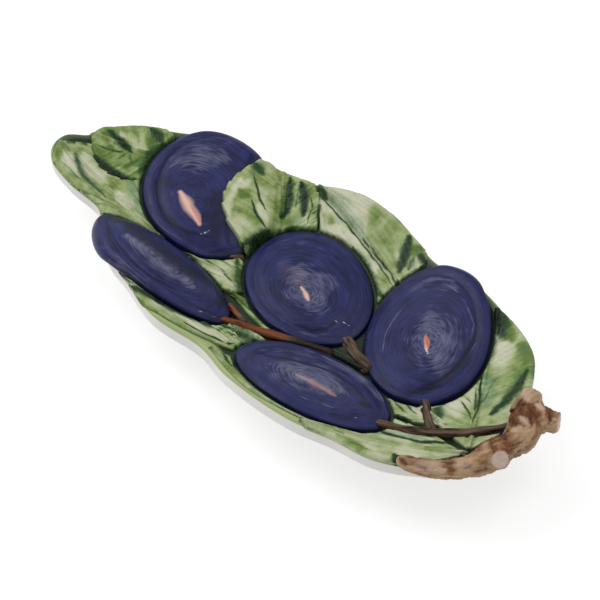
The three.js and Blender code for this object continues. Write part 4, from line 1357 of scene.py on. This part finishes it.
def leaf_glaze(colours, name):
    """Copper green underglaze washed wet over cream, with dark strokes that break up along the brush."""
    patterns = {
        "streak": ("brush", (18, 1.6, 60), 5),
        "mottle": ("place", (9, 9, 9), 3),
        "grit": ("place", (1.6, 1.6, 1.6), 4),
    }
    coats = [
        (colours.leaf_pale, 0.1, {"wash": 1.5, "mottle": 0.8, "streak": 0.3}),
        (colours.leaf_green, -0.45, {"wash": 1.7, "mottle": 0.9, "streak": 0.3}),
        (colours.leaf_olive, -0.95, {"wash": 1.7, "mottle": 1.0, "streak": 0.35, "grit": 0.3}),
        # Blue-green wash; some of its strokes are painted shade along the plums
        (colours.leaf_cool, -0.3, {"cool": 0.9, "mottle": 0.4, "streak": 0.3}),
        # Dark strokes, partly painted shade along the plums and in the gaps
        (colours.leaf_teal, -0.1, {"ink_and_shade": 1.6, "streak": 0.25, "grit": 0.3}),
        (colours.leaf_ink_and_shade, -0.65, {"ink_and_shade": 1.65, "streak": 0.25, "grit": 0.4}),
    ]
    relief = ("streak", 0.12)
    return painted_glaze(name, LEAF_ROUGHNESS, colours.leaf_cream, patterns, coats, relief)


def twig_glaze(colours):
    """Brown underglaze dragged along the twig, darker down its sides."""
    patterns = {"grain": ("brush", (1.2, 1.2, 9), 4)}
    coats = [
        (colours.twig_brown, 0.55, {"grain": 1.3}),
        (colours.twig_red, -0.4, {"red": 1.2, "grain": 0.8}),
        (colours.twig_dark, -0.25, {"grain": -1.2}),
        (colours.twig_dark, -1.3, {"side": 2.0, "grain": -0.4}),
        # Painted shade on the near end of a stalk that starts between the plums
        (colours.twig_dark, 0.0, {"dark": 0.9}),
    ]
    relief = ("grain", 0.3)
    return painted_glaze("twig_underglaze", TWIG_ROUGHNESS, colours.twig_dark, patterns, coats, relief)


def branch_glaze(colours):
    """Tan underglaze wiped over bark: brown in broad patches, dark in the hollows, pale on sawn ends and in
    pale strokes that are partly painted highlights.
    """
    patterns = {
        "patch": ("place", (12, 12, 9), 4),
        "grain": ("brush", (2.4, 2.4, 12), 4),
        "fine": ("place", (1.4, 1.4, 1.4), 3),
    }
    coats = [
        (colours.branch_brown, 0.25, {"brown": 0.9, "light": -0.8, "patch": 0.8, "grain": 1.1}),
        (colours.branch_dark, -0.35, {"bark": -1.2, "brown": 0.4, "light": -0.3, "grain": 0.5}),
        (colours.branch_dark, -0.1, {"dark": 0.95, "fine": 0.3}),
        # Pale strokes, partly painted highlights
        (colours.branch_cut_and_highlight, -0.15, {"light": 0.8, "grain": 0.4}),
        (colours.branch_cut_and_highlight, -0.1, {"cut": 1.0, "fine": 0.2}),
    ]
    relief = ("fine", 0.25)
    return painted_glaze(
        "branch_underglaze", BRANCH_ROUGHNESS, colours.branch_tan, patterns, coats, relief,
    )


# Settings

def length_setting(name, description, millimetres):
    return bpy.props.FloatProperty(
        name=name, description=description, default=millimetres * MM, min=0.0, unit="LENGTH", precision=4,
    )


def colour_setting(name, description, hex_colour):
    return bpy.props.FloatVectorProperty(
        name=name, description=description, default=linear(hex_colour), size=4, min=0.0, max=1.0,
        subtype="COLOR",
    )


class PLATTER_PG_sizes(bpy.types.PropertyGroup):
    """Heights of the relief"""
    plum_rise: length_setting("Plum rise", "Height of a plum's crown over the bowl", 9.5)
    suture_depth: length_setting("Suture depth", "Depth of the groove along a plum", 1.8)
    stalk_hollow: length_setting("Stalk hollow", "Depth of the hollow where a stalk goes in", 3.2)
    leaf_thickness: length_setting("Leaf thickness", "Height of a leaf over what it lies on", 1.7)
    midrib_rise: length_setting("Midrib rise", "Height of a leaf's midrib over the leaf", 0.9)
    vein_depth: length_setting("Vein depth", "Depth of the side veins scratched in a leaf", 0.4)
    tooth_depth: length_setting("Tooth depth", "Depth of the notches in a toothed leaf's edge", 1.1)
    bark_depth: length_setting("Bark depth", "Depth of the carved bark", 0.5)


class PLATTER_PG_colours(bpy.types.PropertyGroup):
    """Colours of the glazes"""
    white_glaze: colour_setting("White glaze", "Tin glaze of the dish", "e6e4df")
    # Thin white is also the colour of the painted glints on the plums
    thin_white_and_glint: colour_setting("Thin white", "Tin glaze where it is thin", "d6d3cd")
    leaf_shadow: colour_setting("Leaf shadow", "Dark paint in the gaps between sprigs", "1d2a1d")
    plum_dark: colour_setting("Plum dark", "Dark brush streaks on the plums", "0f1232")
    plum_blue: colour_setting("Plum blue", "Main blue of the plums", "252a5a")
    # This pale colour is also used for painted highlights on the plums
    plum_bloom_and_highlight: colour_setting("Plum bloom", "Pale bloom on the plums", "67687f")
    # This darkest colour is also used for painted shade on the plums
    plum_ink_and_shade: colour_setting("Plum ink", "Darkest lines on the plums", "090c2a")
    plum_flesh: colour_setting("Plum flesh", "Pink highlight on the plums", "d8b0a3")
    plum_ember: colour_setting("Plum ember", "Orange edge of the highlight", "bd6a52")
    leaf_cream: colour_setting("Leaf cream", "Bare cream of the leaves", "c0c1a8")
    leaf_pale: colour_setting("Leaf pale", "Thin green wash", "9aa774")
    leaf_green: colour_setting("Leaf green", "Main green of the leaves", "708540")
    leaf_olive: colour_setting("Leaf olive", "Strong green of the leaves", "445f28")
    leaf_cool: colour_setting("Leaf cool", "Blue-green wash", "6c8a74")
    # These two dark greens are also used for painted shade on the leaves
    leaf_teal: colour_setting("Leaf teal", "Thin dark strokes", "395a2c")
    leaf_ink_and_shade: colour_setting("Leaf ink", "Full dark strokes", "08150b")
    twig_dark: colour_setting("Twig dark", "Dark brown of the twigs", "1a130c")
    twig_brown: colour_setting("Twig brown", "Grey brown of the twigs", "6a5543")
    twig_red: colour_setting("Twig red", "Red brown of the stalks", "7c401c")
    branch_tan: colour_setting("Branch tan", "Tan of the branch", "ad8f70")
    branch_brown: colour_setting("Branch brown", "Brown of the branch", "6b4122")
    branch_dark: colour_setting("Branch dark", "Dark hollows of the bark", "3d2414")
    # This pale colour is also used for painted highlights on the branch
    branch_cut_and_highlight: colour_setting("Branch cut", "Pale sawn ends", "c8b2a6")


# Operators

class PLATTER_OT_dish(bpy.types.Operator):
    """Builds the dish body with its rim, edge and foot ring"""
    bl_idname = "platter.dish"
    bl_label = "Dish"

    def execute(self, context):
        add_piece(dish_mesh(), "dish_body", white_glaze(context.scene.platter_colours))
        return {"FINISHED"}


class PLATTER_OT_plums(bpy.types.Operator):
    """Builds the plums with their sutures and painted highlights"""
    bl_idname = "platter.plums"
    bl_label = "Plums"

    def execute(self, context):
        glaze = plum_glaze(context.scene.platter_colours)
        for name, plum in PLUMS.items():
            add_piece(plum_mesh(name, plum, context.scene.platter_sizes), name, glaze)
        return {"FINISHED"}


class PLATTER_OT_leaves(bpy.types.Operator):
    """Builds the leaves with their veins and brush strokes"""
    bl_idname = "platter.leaves"
    bl_label = "Leaves"

    def execute(self, context):
        sizes = context.scene.platter_sizes
        slots = {entry["node"]: entry["material_slot"] for entry in frame["record"]["subparts"]}
        glazes = {}
        for name, leaf in LEAVES.items():
            slot = slots[name]
            if slot not in glazes:
                glazes[slot] = leaf_glaze(context.scene.platter_colours, slot)
            piece = add_piece(leaf_mesh(name, leaf, sizes), name, glazes[slot])
            backing = piece.modifiers.new("backing", "SOLIDIFY")
            backing.thickness = sizes.leaf_thickness
            backing.offset = -1
        return {"FINISHED"}


class PLATTER_OT_twigs(bpy.types.Operator):
    """Builds the twig, the stalks and the spur"""
    bl_idname = "platter.twigs"
    bl_label = "Twigs and stalks"

    def execute(self, context):
        glaze = twig_glaze(context.scene.platter_colours)
        for name, twig in TWIGS.items():
            add_piece(twig_mesh(name, *twig), name, glaze)
        return {"FINISHED"}


class PLATTER_OT_branch(bpy.types.Operator):
    """Builds the knotty branch with its sawn stubs"""
    bl_idname = "platter.branch"
    bl_label = "Branch"

    def execute(self, context):
        mesh = branch_mesh(context.scene.platter_sizes)
        add_piece(mesh, "branch", branch_glaze(context.scene.platter_colours))
        return {"FINISHED"}


class PLATTER_OT_stage(bpy.types.Operator):
    """Adds the white table, the soft light and the camera"""
    bl_idname = "platter.stage"
    bl_label = "Stage"

    def execute(self, context):
        scene = context.scene
        scene.view_settings.view_transform = "Standard"
        bm = bmesh.new()
        bmesh.ops.create_grid(bm, x_segments=1, y_segments=1, size=TABLE_HALF)
        floor_mesh = bpy.data.meshes.new("table_top")
        bm.to_mesh(floor_mesh)
        bm.free()
        floor = bpy.data.objects.new("table_top", floor_mesh)
        scene.collection.objects.link(floor)
        # White table paper: flat white that keeps a faint shadow
        paper = bpy.data.materials.new("white_paper")
        paper.use_nodes = True
        shader = paper.node_tree.nodes["Principled BSDF"]
        shader.inputs["Roughness"].default_value = PAPER_ROUGHNESS
        shader.inputs["Specular IOR Level"].default_value = 0.0
        shader.inputs["Emission Color"].default_value = WHITE
        seen = seen_rays(paper.node_tree)
        shine = {0: seen, 1: PAPER_GLOW}
        glow = node(paper.node_tree, "ShaderNodeMath", shine, operation="MULTIPLY").outputs[0]
        tone = {0: seen, 6: PAPER_BOUNCE, 7: PAPER_SEEN}
        shade = node(paper.node_tree, "ShaderNodeMix", tone, data_type="RGBA").outputs[2]
        paper.node_tree.links.new(glow, shader.inputs["Emission Strength"])
        paper.node_tree.links.new(shade, shader.inputs["Base Color"])
        floor_mesh.materials.append(paper)

        world = bpy.data.worlds.new("soft_room")
        scene.world = world
        world.use_nodes = True
        seen = seen_rays(world.node_tree)
        room = {0: seen, 1: ROOM_SEEN, 2: ROOM_LIGHT}
        level = node(world.node_tree, "ShaderNodeMath", room, operation="MULTIPLY_ADD")
        background = world.node_tree.nodes["Background"]
        background.inputs["Color"].default_value = WHITE
        world.node_tree.links.new(level.outputs[0], background.inputs["Strength"])

        for name, place, size, energy in LAMPS:
            light = bpy.data.lights.new(name, "AREA")
            light.energy = energy
            light.size = size
            lamp = bpy.data.objects.new(name, light)
            lamp.location = place
            lamp.rotation_euler = (-lamp.location).to_track_quat("-Z", "Y").to_euler()
            scene.collection.objects.link(lamp)

        back, right, up = (Vector(axis) for axis in view_axes())
        lens = bpy.data.cameras.new("camera")
        lens.sensor_width = SENSOR_WIDTH
        lens.lens = SENSOR_WIDTH * VIEW_FOCAL_PX / PHOTO_SIZE
        camera = bpy.data.objects.new("camera", lens)
        pixel = VIEW_DISTANCE / VIEW_FOCAL_PX
        aim = Vector(VIEW_TARGET + SHIFT)
        aim += right * (PHOTO_SIZE / 2 - VIEW_TARGET_PX[0]) * pixel
        aim -= up * (PHOTO_SIZE / 2 - VIEW_TARGET_PX[1]) * pixel
        camera.location = aim + back * VIEW_DISTANCE
        camera.rotation_euler = (-back).to_track_quat("-Z", "Y").to_euler()
        scene.collection.objects.link(camera)
        scene.camera = camera
        return {"FINISHED"}


class PLATTER_PT_panel(bpy.types.Panel):
    """Panel with the platter's sizes, colours and steps"""
    bl_idname = "PLATTER_PT_panel"
    bl_label = "Plum Platter"
    bl_space_type = "VIEW_3D"
    bl_region_type = "UI"
    bl_category = "Platter"

    def draw(self, context):
        for group in (context.scene.platter_sizes, context.scene.platter_colours):
            box = self.layout.box()
            for key in group.__annotations__:
                box.prop(group, key)
        for operator in OPERATORS:
            self.layout.operator(operator.bl_idname)


OPERATORS = (
    PLATTER_OT_stage, PLATTER_OT_dish, PLATTER_OT_leaves, PLATTER_OT_plums, PLATTER_OT_twigs,
    PLATTER_OT_branch,
)
CLASSES = (PLATTER_PG_sizes, PLATTER_PG_colours, *OPERATORS, PLATTER_PT_panel)


def register():
    for cls in CLASSES:
        bpy.utils.register_class(cls)
    bpy.types.Scene.platter_sizes = bpy.props.PointerProperty(type=PLATTER_PG_sizes)
    bpy.types.Scene.platter_colours = bpy.props.PointerProperty(type=PLATTER_PG_colours)


def unregister():
    del bpy.types.Scene.platter_colours
    del bpy.types.Scene.platter_sizes
    for cls in reversed(CLASSES):
        bpy.utils.unregister_class(cls)


def main():
    """Builds the platter."""
    register()
    bpy.ops.platter.stage()
    bpy.ops.platter.dish()
    bpy.ops.platter.leaves()
    bpy.ops.platter.plums()
    bpy.ops.platter.twigs()
    bpy.ops.platter.branch()


if __name__ == "__main__":
    main()
